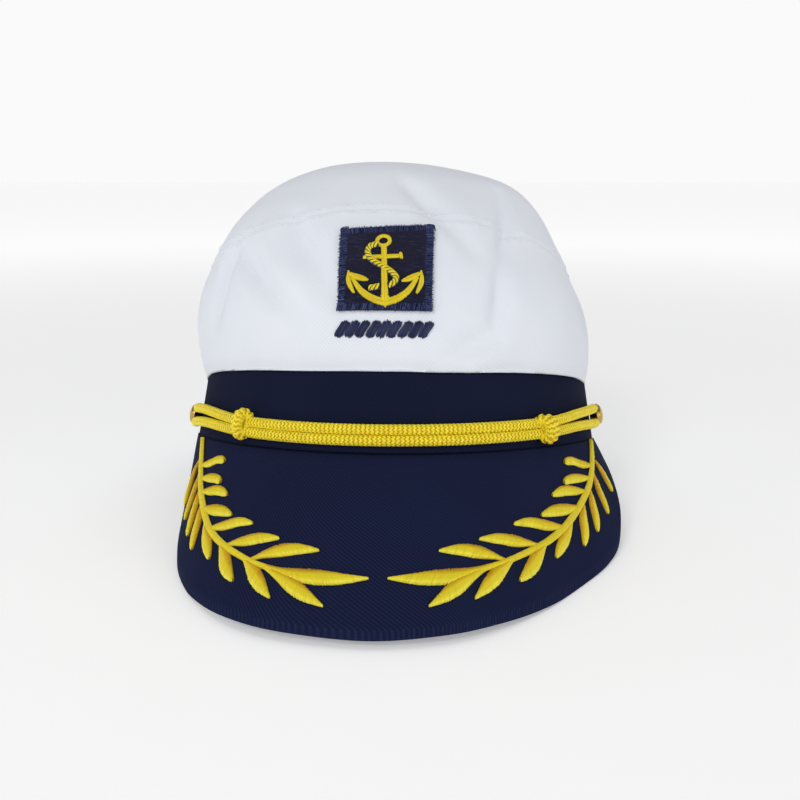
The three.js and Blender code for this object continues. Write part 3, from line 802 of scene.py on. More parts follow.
@dataclass(frozen=True)
class Thread:
    """Shiny embroidery thread: each thread has its own tint, and along a stitch its colour turns to a deeper
    or a paler tone, which on the gold strokes, the rope and the paddings are painted shade and painted
    highlight, and elsewhere the threads' own tones.
    """

    name: str
    colour: Colour
    deep_tone_and_shade: Colour
    pale_tone_and_highlight: Colour
    tinted: Colour
    roughness: float
    sheen: float
    gloss: float

    def build(self) -> bpy.types.Material:
        """The material."""
        tree = ShaderTree(self.name)
        tint, deep_tone_and_shade = tree.attribute("tint"), tree.attribute("deep_tone_and_shade")
        strand = tree.noise(0.5, 3.0)
        # The deeper tone is painted shade and the paler one a painted highlight where the strokes ask for
        # them; on the navy field, bar and border they are the threads' own tones.
        base = tree.blend(deep_tone_and_shade.step(0.0, 1.0) * (0.75 + 0.5 * strand), self.colour, self.deep_tone_and_shade)
        base = tree.blend((0.0 - deep_tone_and_shade).step(0.0, 1.0), base, self.pale_tone_and_highlight)
        base = tree.blend(0.6 * tint ** 2.0, base, self.tinted)
        inputs = {
            "Base Color": base,
            "Roughness": self.roughness + 0.12 * tint,
            "Sheen Weight": self.sheen,
            "Sheen Roughness": 0.35,
            "Specular IOR Level": self.gloss,
        }
        return tree.surface(strand, 0.05, inputs)


@dataclass(frozen=True)
class KnitCord:
    """Knitted rayon cord, with a painted highlight on the crest of each stitch and painted deep orange shade
    between them.
    """

    name: str
    colour: Colour
    crest: Colour
    hollow_shade: Colour
    roughness: float

    def build(self) -> bpy.types.Material:
        """The material."""
        tree = ShaderTree(self.name)
        tint, crest = tree.attribute("tint"), tree.attribute("crest")
        strand = tree.noise(0.45, 3.0)
        # Painted shade at the base of each stitch and a painted highlight on its crest; the random tint turns
        # some stitches deeper at random, and the core's tint of 1 paints it all in shade.
        base = tree.blend(crest.step(-0.35, 0.55), self.hollow_shade, self.colour)
        base = tree.blend(crest.step(0.45, 1.0) * (0.5 + 0.5 * strand), base, self.crest)
        base = tree.blend(0.35 * tint, base, self.hollow_shade)
        inputs = {
            "Base Color": base,
            "Roughness": self.roughness + 0.1 * strand,
            "Specular IOR Level": 0.3,
        }
        return tree.surface(strand, 0.06, inputs)


@dataclass(frozen=True)
class Gilt:
    """Polished gilt metal with faint wear."""

    name: str
    colour: Colour
    worn: Colour
    roughness: float

    def build(self) -> bpy.types.Material:
        """The material."""
        tree = ShaderTree(self.name)
        wear = tree.noise(1.6, 4.0)
        inputs = {
            "Base Color": tree.blend(wear.step(0.55, 0.8), self.colour, self.worn),
            "Metallic": 1.0,
            "Roughness": self.roughness + 0.12 * wear,
        }
        return tree.surface(tree.noise(0.8, 2.0), 0.01, inputs)


@dataclass(frozen=True)
class Finishes:
    """Every material of the cap."""

    white: bpy.types.Material
    band: bpy.types.Material
    visor: bpy.types.Material
    navy_thread: bpy.types.Material
    white_thread: bpy.types.Material
    gold_thread: bpy.types.Material
    cord: bpy.types.Material
    gilt: bpy.types.Material

    @classmethod
    def build(cls) -> "Finishes":
        """Builds them all."""
        # The twills' rib_highlight colours are painted highlights on their ribs.
        white = Twill("white_twill", colour=(0.82, 0.85, 0.915), rib_highlight=(0.85, 0.88, 0.94),
                      shade=(0.79, 0.825, 0.90), rib_pitch=1.0, rib_turn=50.0, float_length=0.9,
                      relief=0.035, roughness=0.86, sheen=0.06)
        band = Twill("band_twill", colour=(0.0078, 0.0104, 0.0300), rib_highlight=(0.0115, 0.0155, 0.0440),
                     shade=(0.0064, 0.0088, 0.0250), rib_pitch=0.95, rib_turn=47.0, float_length=0.8,
                     relief=0.05, roughness=0.85, sheen=0.0)
        visor = Twill("visor_twill", colour=(0.0092, 0.0130, 0.0425), rib_highlight=(0.0165, 0.0225, 0.0700),
                      shade=(0.0080, 0.0115, 0.0380), rib_pitch=1.05, rib_turn=47.0, float_length=0.9,
                      relief=0.045, roughness=0.85, sheen=0.0)
        # Each thread's deep_tone_and_shade and pale_tone_and_highlight colours: painted shade and painted
        # highlight on the gold strokes and the rope, the threads' own tones on the navy field, bar and
        # border.
        navy_thread = Thread("navy_embroidery", colour=(0.017, 0.024, 0.085), deep_tone_and_shade=(0.0085, 0.0075, 0.030),
                             pale_tone_and_highlight=(0.06, 0.09, 0.23), tinted=(0.13, 0.17, 0.36),
                             roughness=0.5, sheen=0.0, gloss=0.25)
        white_thread = Thread("white_stitching", colour=(0.82, 0.85, 0.91), deep_tone_and_shade=(0.80, 0.83, 0.89),
                              pale_tone_and_highlight=(0.84, 0.87, 0.93), tinted=(0.76, 0.79, 0.86),
                              roughness=0.7, sheen=0.0, gloss=0.1)
        gold_thread = Thread("gold_embroidery", colour=(0.88, 0.73, 0.022), deep_tone_and_shade=(0.66, 0.33, 0.003),
                             pale_tone_and_highlight=(0.97, 0.90, 0.075), tinted=(0.77, 0.60, 0.014),
                             roughness=0.45, sheen=0.0, gloss=0.3)
        # The cord's crest colour is a painted highlight and its hollow_shade colour a painted shade.
        cord = KnitCord("gold_knit_cord", colour=(0.98, 0.80, 0.012), crest=(1.0, 0.95, 0.09),
                        hollow_shade=(0.74, 0.44, 0.003), roughness=0.42)
        gilt = Gilt("gilt_metal", colour=(0.52, 0.37, 0.09), worn=(0.42, 0.28, 0.06), roughness=0.07)
        kinds = (white, band, visor, navy_thread, white_thread, gold_thread, cord, gilt)
        return cls(*(kind.build() for kind in kinds))


class GeometryTree(Tree):
    """A geometry tree with named inputs, which turns a carrier mesh into real pieces."""

    def __init__(self, name: str, inputs: Sequence[tuple[str, str]]) -> None:
        """Starts a tree.

        Args:
            name: The tree's name.
            inputs: Name and socket type of each input after the geometry.
        """
        super().__init__(bpy.data.node_groups.new(name, "GeometryNodeTree"))
        sockets = self.tree.interface
        sockets.new_socket("Geometry", in_out="INPUT", socket_type="NodeSocketGeometry")
        self.keys = {key: sockets.new_socket(key, in_out="INPUT", socket_type=kind).identifier
                     for key, kind in inputs}
        sockets.new_socket("Geometry", in_out="OUTPUT", socket_type="NodeSocketGeometry")
        self.given = self.tree.nodes.new("NodeGroupInput")

    def input(self, name: str) -> bpy.types.NodeSocket:
        """A socket of the tree's own inputs."""
        return self.given.outputs[name]

    def kept(self, name: str, kind: str = "FLOAT") -> bpy.types.NodeSocket:
        """An attribute of the carrier."""
        node = self.node("GeometryNodeInputNamedAttribute", {"data_type": kind}, {"Name": name})
        return self.pick(node.outputs, "Attribute")

    def finish(self, shape: bpy.types.NodeSocket) -> None:
        """Ends the tree: instances made real, smooth and in their finish."""
        real = self.node("GeometryNodeRealizeInstances", None, {"Geometry": shape})
        smooth = self.node("GeometryNodeSetShadeSmooth", None, {"Geometry": real.outputs[0]})
        dressed = self.node("GeometryNodeSetMaterial", None,
                            {"Geometry": smooth.outputs[0], "Material": self.input("Finish")})
        self.node("NodeGroupOutput", None, {"Geometry": dressed.outputs[0]})

    def run(self, name: str, carrier: bpy.types.Mesh, values: dict[str, object]) -> bpy.types.Object:
        """Makes a plain mesh object from a carrier.

        Args:
            name: The new piece's name.
            carrier: The mesh that the tree starts from.
            values: The value of each named input.

        Returns:
            The piece, with no modifier left.
        """
        holder = bpy.data.objects.new(f"{name}_carrier", carrier)
        bpy.context.scene.collection.objects.link(holder)
        modifier = holder.modifiers.new("laid", "NODES")
        modifier.node_group = self.tree
        for key, value in values.items():
            modifier[self.keys[key]] = value
        bpy.context.view_layer.update()
        depsgraph = bpy.context.evaluated_depsgraph_get()
        mesh = bpy.data.meshes.new_from_object(
            holder.evaluated_get(depsgraph), preserve_all_data_layers=True, depsgraph=depsgraph)
        holder.modifiers.remove(modifier)
        bpy.data.objects.remove(holder)
        mesh.name = name
        return bpy.data.objects.new(name, mesh)


def thread_tree() -> GeometryTree:
    """A tree that sweeps a round section along each line of a carrier, as thick as its girth says."""
    tree = GeometryTree("threads", [("Sides", "NodeSocketInt"), ("Finish", "NodeSocketMaterial")])
    lines = tree.node("GeometryNodeMeshToCurve", None, {"Mesh": tree.input("Geometry")})
    section = tree.node("GeometryNodeCurvePrimitiveCircle", {"mode": "RADIUS"},
                        {"Resolution": tree.input("Sides"), "Radius": 1.0})
    swept = tree.node("GeometryNodeCurveToMesh", None, {
        "Curve": lines.outputs[0], "Profile Curve": section.outputs[0],
        "Scale": tree.kept("girth"), "Fill Caps": True,
    })
    tree.finish(swept.outputs[0])
    return tree


def stitch_tree() -> GeometryTree:
    """A tree that lays an oval stitch on each point of a carrier, turned and sized as the point says."""
    tree = GeometryTree("stitches", [
        ("Segments", "NodeSocketInt"), ("Rings", "NodeSocketInt"), ("Finish", "NodeSocketMaterial")])
    ball = tree.node("GeometryNodeMeshUVSphere", None, {
        "Segments": tree.input("Segments"), "Rings": tree.input("Rings"), "Radius": 0.5})
    # Each stitch keeps its height as crest, from -1 at its base to 1 at its top, by which the cord's finish
    # paints its highlight and its shade.
    place = tree.node("GeometryNodeInputPosition")
    height = tree.node("ShaderNodeSeparateXYZ", None, {0: place.outputs[0]})
    crest = tree.node("ShaderNodeMath", {"operation": "MULTIPLY"}, {0: height.outputs[2], 1: 2.0})
    marked = tree.node("GeometryNodeStoreNamedAttribute", {"data_type": "FLOAT", "domain": "POINT"}, {
        "Geometry": ball.outputs["Mesh"], "Name": "crest", "Value": crest.outputs[0]})
    turned = tree.node("FunctionNodeAxesToRotation", {"primary_axis": "Z", "secondary_axis": "X"}, {
        "Primary Axis": tree.kept("out", "FLOAT_VECTOR"),
        "Secondary Axis": tree.kept("heading", "FLOAT_VECTOR")})
    laid = tree.node("GeometryNodeInstanceOnPoints", None, {
        "Points": tree.input("Geometry"), "Instance": marked.outputs[0],
        "Rotation": turned.outputs[0], "Scale": tree.kept("size", "FLOAT_VECTOR")})
    tree.finish(laid.outputs[0])
    return tree


@dataclass
class Threads:
    """Threads laid along lines, each with its thickness and colouring."""

    lines: list[Array] = field(default_factory=list)
    girths: list[Array] = field(default_factory=list)
    tints: list[Array] = field(default_factory=list)
    deep_tones_and_shades: list[Array] = field(default_factory=list)

    def lay(self, line: Array, girth: float, tint: float, deep_tone_and_shade: Array) -> None:
        """Adds a thread.

        Args:
            line: Its points.
            girth: Half its thickness.
            tint: Its own shade, from 0 to 1.
            deep_tone_and_shade: At each point, from 1 for the deeper tone to -1 for the paler one: painted
                shade and painted highlight on the gold strokes and the rope, the threads' own tones on the
                navy field, bar and border.
        """
        count = len(line)
        ends = np.minimum(1.0, 0.55 + np.arange(count))
        self.lines.append(line)
        self.girths.append(girth * np.minimum(ends, ends[::-1]))
        self.tints.append(np.full(count, tint))
        self.deep_tones_and_shades.append(np.broadcast_to(deep_tone_and_shade, count))

    def carrier(self, name: str, rest: Rest) -> bpy.types.Mesh:
        """The threads as bare edges, with their numbers kept on the points.

        Args:
            name: The piece's name.
            rest: Where the cap lies.

        Returns:
            The carrier.
        """
        starts = np.cumsum([0] + [len(line) for line in self.lines])
        edges = [(k, k + 1) for start, end in zip(starts, starts[1:]) for k in range(start, end - 1)]
        mesh = bpy.data.meshes.new(f"{name}_lines")
        mesh.from_pydata(rest.metres(np.concatenate(self.lines)).tolist(), edges, [])
        keep_numbers(mesh, {"girth": np.concatenate(self.girths) * MM, "tint": np.concatenate(self.tints),
                            "deep_tone_and_shade": np.concatenate(self.deep_tones_and_shades)})
        return mesh


@dataclass
class Stitches:
    """Oval stitches, each with its place, the way it faces, the way it runs and its size."""

    places: list[Array] = field(default_factory=list)
    outs: list[Array] = field(default_factory=list)
    headings: list[Array] = field(default_factory=list)
    sizes: list[Array] = field(default_factory=list)

    def lay(self, places: Array, outs: Array, headings: Array, size: Sequence[float]) -> None:
        """Adds stitches of one size: length, width and height."""
        self.places.append(places)
        self.outs.append(outs)
        self.headings.append(headings)
        self.sizes.append(np.broadcast_to(np.array(size, float), places.shape))

    def carrier(self, name: str, rest: Rest) -> bpy.types.Mesh:
        """The stitches as bare points, with their numbers kept on them.

        Args:
            name: The piece's name.
            rest: Where the cap lies.

        Returns:
            The carrier.
        """
        mesh = bpy.data.meshes.new(f"{name}_points")
        mesh.from_pydata(rest.metres(np.concatenate(self.places)).tolist(), [], [])
        vectors = {"out": np.concatenate(self.outs) @ rest.turn.T,
                   "heading": np.concatenate(self.headings) @ rest.turn.T,
                   "size": np.concatenate(self.sizes) * MM}
        for key, values in vectors.items():
            layer = mesh.attributes.new(key, "FLOAT_VECTOR", "POINT")
            layer.data.foreach_set("vector", values.astype(np.float32).ravel())
        count = len(mesh.vertices)
        keep_numbers(mesh, {"tint": np.random.default_rng(count).random(count)})
        return mesh


@dataclass
class Spine:
    """A line on a surface, resampled by its length, with its own directions."""

    centre: Array
    along: Array
    side: Array
    up: Array
    length: float

    @classmethod
    def on(cls, surface: Surface, path: Array, closed: bool = False) -> "Spine":
        """Lays a path on a surface.

        Args:
            surface: The surface, a function of two shares and a lift.
            path: Places on it, two shares each.
            closed: Whether the path returns to its start.

        Returns:
            The spine.
        """
        centre = surface(path[:, 0], path[:, 1], 0.0)
        up = unit(surface(path[:, 0], path[:, 1], 1.0) - centre)
        if closed:
            along = unit(np.roll(centre, -1, 0) - np.roll(centre, 1, 0))
            along[0] = along[-1] = unit(centre[1] - centre[-2])
        else:
            along = unit(np.gradient(centre, axis=0))
        side = unit(np.cross(up, along))
        length = float(np.linalg.norm(np.diff(centre, axis=0), axis=1).sum())
        return cls(centre, along, side, up, length)

    def at(self, share: Array) -> tuple[Array, Array, Array, Array]:
        """The spine between its points.

        Args:
            share: Shares of its length.

        Returns:
            Its centre and its directions along, to the side and up.
        """
        steps = np.linalg.norm(np.diff(self.centre, axis=0), axis=1)
        places = np.concatenate([[0.0], np.cumsum(steps)]) / steps.sum()

        def read(rows: Array) -> Array:
            """Rows read at the shares."""
            return np.stack([np.interp(share, places, rows[:, k]) for k in range(3)], -1)

        return read(self.centre), unit(read(self.along)), unit(read(self.side)), unit(read(self.up))


def bend_through(places: Sequence[Sequence[float]], count: int) -> Array:
    """A smooth path through a few places."""
    rows = [(k / (len(places) - 1), *place) for k, place in enumerate(places)]
    table = Table("share first second", *rows)
    share = np.linspace(0, 1, count)
    return np.stack([table.read("first", share), table.read("second", share)], -1)


@dataclass(frozen=True)
class Satin:
    """Satin stitch: threads side by side across a stroke, over a low padding."""

    pitch: float = 0.36
    girth: float = 0.21
    slant: float = 0.5
    relief: float = 1.1
    foot: float = 0.3
    group: int = 0

    def cover(self, threads: Threads, spine: Spine, half_width: Along, painted_light: AlongAcross,
              random: np.random.Generator) -> None:
        """Covers a stroke with threads.

        Args:
            threads: Where the threads are added.
            spine: The stroke's middle line.
            half_width: The stroke's half-width at shares of its length.
            painted_light: The painted shade (above 0) and painted highlight (below 0) at shares along and
                across it.
            random: The source of the small unevenness.
        """
        count = max(3, round(spine.length / self.pitch))
        across = np.linspace(-1, 1, 7)
        arch = np.sqrt(1 - across**2 * 0.96)
        for k in range(count):
            if self.group and k % self.group >= self.group - 2:
                continue
            share = (k + 0.5) / count
            width = float(half_width(np.array(share)))
            reach = share + across * self.slant * width / spine.length
            centre, _, side, up = spine.at(np.clip(reach, 0, 1))
            width *= 1 + 0.03 * random.normal()
            high = self.relief * min(1.0, 0.35 + 0.65 * width / 1.1) * (1 + 0.03 * random.normal())
            place = math.pi * (k % self.group + 1) / (self.group - 1) if self.group else math.pi / 2
            swell = 0.8 + 0.2 * math.sin(place)
            line = centre + side * (across * width)[:, None]
            line = line + up * (self.foot + high * swell * arch)[:, None]
            threads.lay(line, self.girth, random.random(), painted_light(np.full(7, share), across))

    def padding(self, spine: Spine, half_width: Along, columns: int) -> Padding:
        """The padding under a stroke.

        Args:
            spine: The stroke's middle line.
            half_width: The stroke's half-width at shares of its length.
            columns: How many points it has along the stroke.

        Returns:
            The points and faces of a closed body.
        """
        share = np.linspace(0, 1, columns)
        centre, _, side, up = spine.at(share)
        width = np.maximum(0.12, half_width(share) - 0.12)
        high = np.maximum(0.15, self.relief * np.minimum(1.0, 0.35 + 0.65 * width / 1.1) - 0.12)
        turn = np.linspace(0, math.pi, 9)
        foot = self.foot - 0.15
        loops = [centre + side * (width * math.cos(t))[:, None] + up * (foot + high * math.sin(t))[:, None]
                 for t in turn]
        points = np.stack(loops)
        rows = len(loops)
        faces = [[r * columns + c, r * columns + c + 1,
                  (r + 1) % rows * columns + c + 1, (r + 1) % rows * columns + c]
                 for r in range(rows) for c in range(columns - 1)]
        faces.append([r * columns for r in reversed(range(rows))])
        faces.append([r * columns + columns - 1 for r in range(rows)])
        return points.reshape(-1, 3), faces


class Bench:
    """Where pieces are put together: the form, the finishes, the trees and the rest place."""

    def __init__(self) -> None:
        """Reads the frame and sets out the trees and finishes."""
        self.form = CapForm()
        self.rest = Rest(self.form, frame["record"])
        self.finishes = Finishes.build()
        self.threads = thread_tree()
        self.stitches = stitch_tree()

    def settle(self, piece: bpy.types.Object, slot: Slot, *nodes: str) -> bpy.types.Object:
        """Puts a finished piece on the cap.

        Args:
            piece: The piece.
            slot: The record's slot that its finish follows; not used.
            nodes: The frame's nodes that it stands for.

        Returns:
            The piece.
        """
        if piece.name not in bpy.context.scene.collection.objects:
            bpy.context.scene.collection.objects.link(piece)
        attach(piece, "root")
        if nodes:
            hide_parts(*nodes)
        log.info("%s: %d faces", piece.name, len(piece.data.polygons))
        return piece

    def body(self, name: str, mesh: bpy.types.Mesh, finish: bpy.types.Material, slot: Slot,
             *nodes: str) -> bpy.types.Object:
        """A piece from a mesh, in its finish and on the cap."""
        mesh.materials.append(finish)
        return self.settle(bpy.data.objects.new(name, mesh), slot, *nodes)

    def grid(self, name: str, points: Array, cloth: Array, wrap: Wrap, finish: bpy.types.Material,
             slot: Slot, *nodes: str) -> bpy.types.Object:
        """A piece over a grid of points in the level cap's millimetres."""
        mesh = grid_mesh(name, self.rest.metres(points), cloth, wrap)
        return self.body(name, mesh, finish, slot, *nodes)

    def sewn(self, name: str, threads: Threads, finish: bpy.types.Material, slot: Slot,
             *nodes: str, sides: int = 5) -> bpy.types.Object:
        """A piece of laid threads."""
        carrier = threads.carrier(name, self.rest)
        return self.settle(self.threads.run(name, carrier, {"Sides": sides, "Finish": finish}), slot, *nodes)

    def stitched(self, name: str, stitches: Stitches, finish: bpy.types.Material, slot: Slot,
                 *nodes: str) -> bpy.types.Object:
        """A piece of laid stitches."""
        carrier = stitches.carrier(name, self.rest)
        values = {"Segments": 6, "Rings": 4, "Finish": finish}
        return self.settle(self.stitches.run(name, carrier, values), slot, *nodes)

    def pads(self, name: str, shapes: list[Padding], finish: bpy.types.Material,
             slot: Slot) -> bpy.types.Object:
        """The padding of several strokes as one piece.

        Args:
            name: The piece's name.
            shapes: The points and faces of each stroke's padding.
            finish: Its material.
            slot: The record's slot that it follows.

        Returns:
            The piece.
        """
        points = np.concatenate([shape[0] for shape in shapes])
        starts = np.cumsum([0] + [len(shape[0]) for shape in shapes])
        faces = [[k + start for k in face] for start, shape in zip(starts, shapes) for face in shape[1]]
        mesh = build_mesh(name, self.rest.metres(points), faces, None)
        # The paddings show between the threads and are painted mostly in the deeper tone, as painted shade.
        keep_numbers(mesh, {"tint": 0.55, "deep_tone_and_shade": 0.9})
        return self.body(name, mesh, finish, slot)


@dataclass
class Crown:
    """The white crown: a side panel with a turned hem, a top panel and their topstitched seam."""

    bench: Bench
    steps: int = 300
    hem_lip: float = 0.8
    hem_round: float = 1.0
    stitch_length: float = 2.2
    stitch_gap: float = 0.7
    stitch_inset: float = 2.4
    tuck: float = 0.05
    crisp: float = 0.001

    def side_panel(self) -> None:
        """The side panel, from the hem's inner edge round its outside and back up its inside."""
        form = self.bench.form
        angle = round_angles(self.steps)
        seam = form.seam_climb(angle)
        lip_z = form.hem_z(angle) + form.clearance
        inside = -form.band_flare - form.band_wall
        hem = form.crown(angle, 0.0)
        lip = form.oval(angle, -form.band_flare + self.hem_lip, lip_z)
        rows = [form.oval(angle, inside, lip_z), lip]
        for share in (0.35, 0.7, 0.9):
            low = np.minimum(lip[:, 2], hem[:, 2])
            point = lip + (hem - lip) * share
            point[:, 2] = low + (point[:, 2] - low) * share - self.hem_round * 0.25 * (1 - share)
            rows.append(point)
        outer = np.linspace(0, 1, 54)
        rows += [form.crown(angle, seam * share) for share in (*outer[:-1], 1 - self.crisp, 1.0)]
        rows += [form.crown(angle, seam * share, -form.crown_wall) for share in outer[::-3]]
        rows.append(form.oval(angle, inside, lip_z + form.crown_wall))
        points = np.stack(rows)
        self.bench.grid("crown_side_cloth", points, self.cloth_round(points, angle), Wrap(True, True),
                        self.bench.finishes.white, Slot.WHITE_CLOTH, "crown_side")

    def cloth_round(self, points: Array, angle: Array) -> Array:
        """Cloth coordinates round the cap and up its side, with one more row and column to close on."""
        form = self.bench.form
        turns = np.append(angle, math.pi)
        climbs = run_lengths(points)
        climbs = np.append(climbs, climbs[-1] + form.crown_wall)
        return np.stack(np.meshgrid(climbs, turns * form.girth / TURN, indexing="ij")[::-1], -1)

    def top_panel(self) -> None:
        """The top panel, from the middle of its outside over its edge to the middle of its inside."""
        form = self.bench.form
        angle = round_angles(self.steps)
        start = form.seam_climb(angle) - self.tuck / form.meridian
        rows, reaches = [], []
        outside = [(share, 0.0) for share in (*np.linspace(1, 0, 46)[:-1], self.crisp, 0.0)]
        inside = [(share, -form.crown_wall) for share in np.linspace(0, 1, 16)]
        for share, lift in outside + inside:
            climb = start + (1 - start) * share
            rows.append(form.crown(angle if share < 1 else 0 * angle, climb, lift))
            reaches.append((1 - climb) * form.meridian)
        reach = np.stack(reaches)
        reach = np.concatenate([reach, reach[:, :1]], 1)
        turns = np.append(angle, math.pi)
        cloth = np.stack([reach * np.sin(turns), -reach * np.cos(turns)], -1)
        self.bench.grid("crown_top_cloth", np.stack(rows), cloth, Wrap(False, True),
                        self.bench.finishes.white, Slot.WHITE_CLOTH, "crown_top")

    def topstitching(self) -> None:
        """Two rows of lock stitches along the seam between the panels."""
        form = self.bench.form
        angle = np.linspace(-math.pi, math.pi, 2001)
        stitches = Stitches()
        for inset in (-self.stitch_inset, self.stitch_inset):
            climb = form.seam_climb(angle) + inset / form.meridian
            line = form.crown(angle, climb, 0.06)
            lengths = run_lengths(line)
            count = round(lengths[-1] / (self.stitch_length + self.stitch_gap))
            at = (np.arange(count) + 0.5) / count * lengths[-1]
            turns = np.interp(at, lengths, angle)
            climbs = form.seam_climb(turns) + inset / form.meridian
            places = form.crown(turns, climbs, 0.06)
            outs = unit(form.crown(turns, climbs, 1.06) - places)
            step = 0.004
            ahead = turns + step
            headings = unit(form.crown(ahead, form.seam_climb(ahead) + inset / form.meridian, 0.06) - places)
            stitches.lay(places, outs, headings, (self.stitch_length, 0.34, 0.24))
        self.bench.stitched("crown_topstitching", stitches, self.bench.finishes.white_thread,
                            Slot.WHITE_CLOTH)

    def make(self) -> None:
        """Makes the crown."""
        self.side_panel()
        self.top_panel()
        self.topstitching()


@dataclass
class Band:
    """The navy band, a tapered ring of cloth with a rounded lower edge."""

    bench: Bench
    steps: int = 240
    round_radius: float = 0.5

    def make(self) -> None:
        """Makes the band."""
        form = self.bench.form
        angle = round_angles(self.steps)
        low, high = form.rim_z(angle), form.hem_z(angle)
        rows = [form.oval(angle, -self.round_radius, low), form.oval(angle, -0.15, low + 0.15)]
        for share in np.linspace(0.02, 1, 26):
            z = low + (high - low) * share
            swell = BAND_SWELL.at(angle, z) * math.sin(math.pi * share)
            rows.append(form.oval(angle, form.band_outset(angle, z) + swell, z))
        inner = -form.band_flare - form.band_wall
        rows.append(form.oval(angle, inner, high))
        rows.append(form.oval(angle, (inner - form.band_wall) / 2, (low + high) / 2))
        rows.append(form.oval(angle, -form.band_wall, low))
        points = np.stack(rows)
        climbs = run_lengths(points)
        climbs = np.append(climbs, climbs[-1] + form.band_wall)
        turns = np.append(angle, math.pi) * form.girth / TURN
        cloth = np.stack(np.meshgrid(climbs, turns, indexing="ij")[::-1], -1)
        self.bench.grid("band_cloth", points, cloth, Wrap(True, True), self.bench.finishes.band,
                        Slot.NAVY_CLOTH, "band")


@dataclass
class Visor:
    """The navy visor: a curved sheet under twill, with a rolled edge."""

    bench: Bench
    steps: int = 220
    blunt_ends: float = 0.985

    def make(self) -> None:
        """Makes the visor."""
        form = self.bench.form
        sweep = np.linspace(-self.blunt_ends, self.blunt_ends, self.steps + 1)
        length = np.linalg.norm(form.visor_sheet(sweep, np.ones_like(sweep))
                                - form.visor_sheet(sweep, np.zeros_like(sweep)), axis=-1)
        rows, falls = [], []
        edge = [(0.55, 0.0), (0.18, 0.06), (0.03, 0.2), (0.0, 0.5), (0.0, 0.8), (0.1, 0.95), (0.4, 1.0)]
        depths = [(share, 0.0, 0.0) for share in np.linspace(0, 1, 44)[:-1]]
        depths += [(1.0, inset, fall) for inset, fall in edge]
        depths += [(share, 0.0, 1.0) for share in np.linspace(1, 0, 22)[1:]]
        for share, inset, fall in depths:
            depth = np.maximum(0.0, share - inset / np.maximum(length, 2.0))
            top = form.visor(sweep, depth)
            steepness = np.maximum(0.5, form.visor_facing(sweep, depth)[..., 2])
            top[..., 2] -= fall * form.visor_wall / steepness
            rows.append(top)
            falls.append(depth * length)
        points = np.stack(rows)
        runs = np.stack(falls)
        round_rim = sweep * form.visor_sweep * DEGREE * (form.head_width / 2 + form.visor_reach / 2)
        cloth = np.stack([np.broadcast_to(round_rim, runs.shape), -runs], -1)
        cloth = np.concatenate([cloth, cloth[:1]])
        self.bench.grid("visor_cloth", points, cloth, Wrap(True, False), self.bench.finishes.visor,
                        Slot.NAVY_CLOTH, "visor")


# The cord's middle line: its height above the rim, a share of the band's, at angles from the front
CORD_ROUTE = Table(
    "angle height",
    (-80, 0.320),
    (-58, 0.355),
    (-36, 0.275),
    (0, 0.250),
    (42, 0.285),
    (60, 0.360),
    (80, 0.390),
)


@dataclass
class CordRun:
    """A stretch of cord: its points and two directions across it."""

    points: Array
    up: Array
    away: Array
    closed: bool

    def resample(self, pitch: float) -> "CordRun":
        """The same cord with points at an even pitch.

        Args:
            pitch: The length from point to point.

        Returns:
            The cord.
        """
        points = np.concatenate([self.points, self.points[:1]]) if self.closed else self.points
        places = run_lengths(points)
        count = max(4, round(places[-1] / pitch))
        at = np.linspace(0, places[-1], count + 1)[:count]

        def read(rows: Array) -> Array:
            """Rows read at the even places."""
            rows = np.concatenate([rows, rows[:1]]) if self.closed else rows
            return np.stack([np.interp(at, places, rows[:, k]) for k in range(3)], -1)

        return CordRun(read(self.points), unit(read(self.up)), unit(read(self.away)), self.closed)


@dataclass(frozen=True)
class Knit:
    """A knitted tube: rows of V-shaped stitches in columns round a core."""

    columns: int = 8
    row: float = 1.6
    lean: float = 34.0

    def dress(self, stitches: Stitches, run: CordRun, radius: float) -> None:
        """Adds the stitches of one stretch of cord.

        Args:
            stitches: Where they are added.
            run: The stretch of cord.
            radius: Its radius.
        """
        rows = run.resample(self.row)
        heading = unit(np.roll(rows.points, -1, 0) - np.roll(rows.points, 1, 0) if rows.closed
                       else np.gradient(rows.points, axis=0))
        height = 0.26 * radius
        for column in range(self.columns):
            for side in (-1, 1):
                turn = TURN * (column + 0.25 * side) / self.columns
                out = unit(rows.up * math.cos(turn) + rows.away * math.sin(turn))
                across = np.cross(out, heading)
                lean = side * self.lean * DEGREE
                run_way = heading * math.cos(lean) + across * math.sin(lean)
                places = rows.points + out * (radius - 0.5 * height)
                width = TURN * radius / self.columns / 2
                stitches.lay(places, out, run_way, (self.row * 1.45, width * 1.25, height * 1.3))


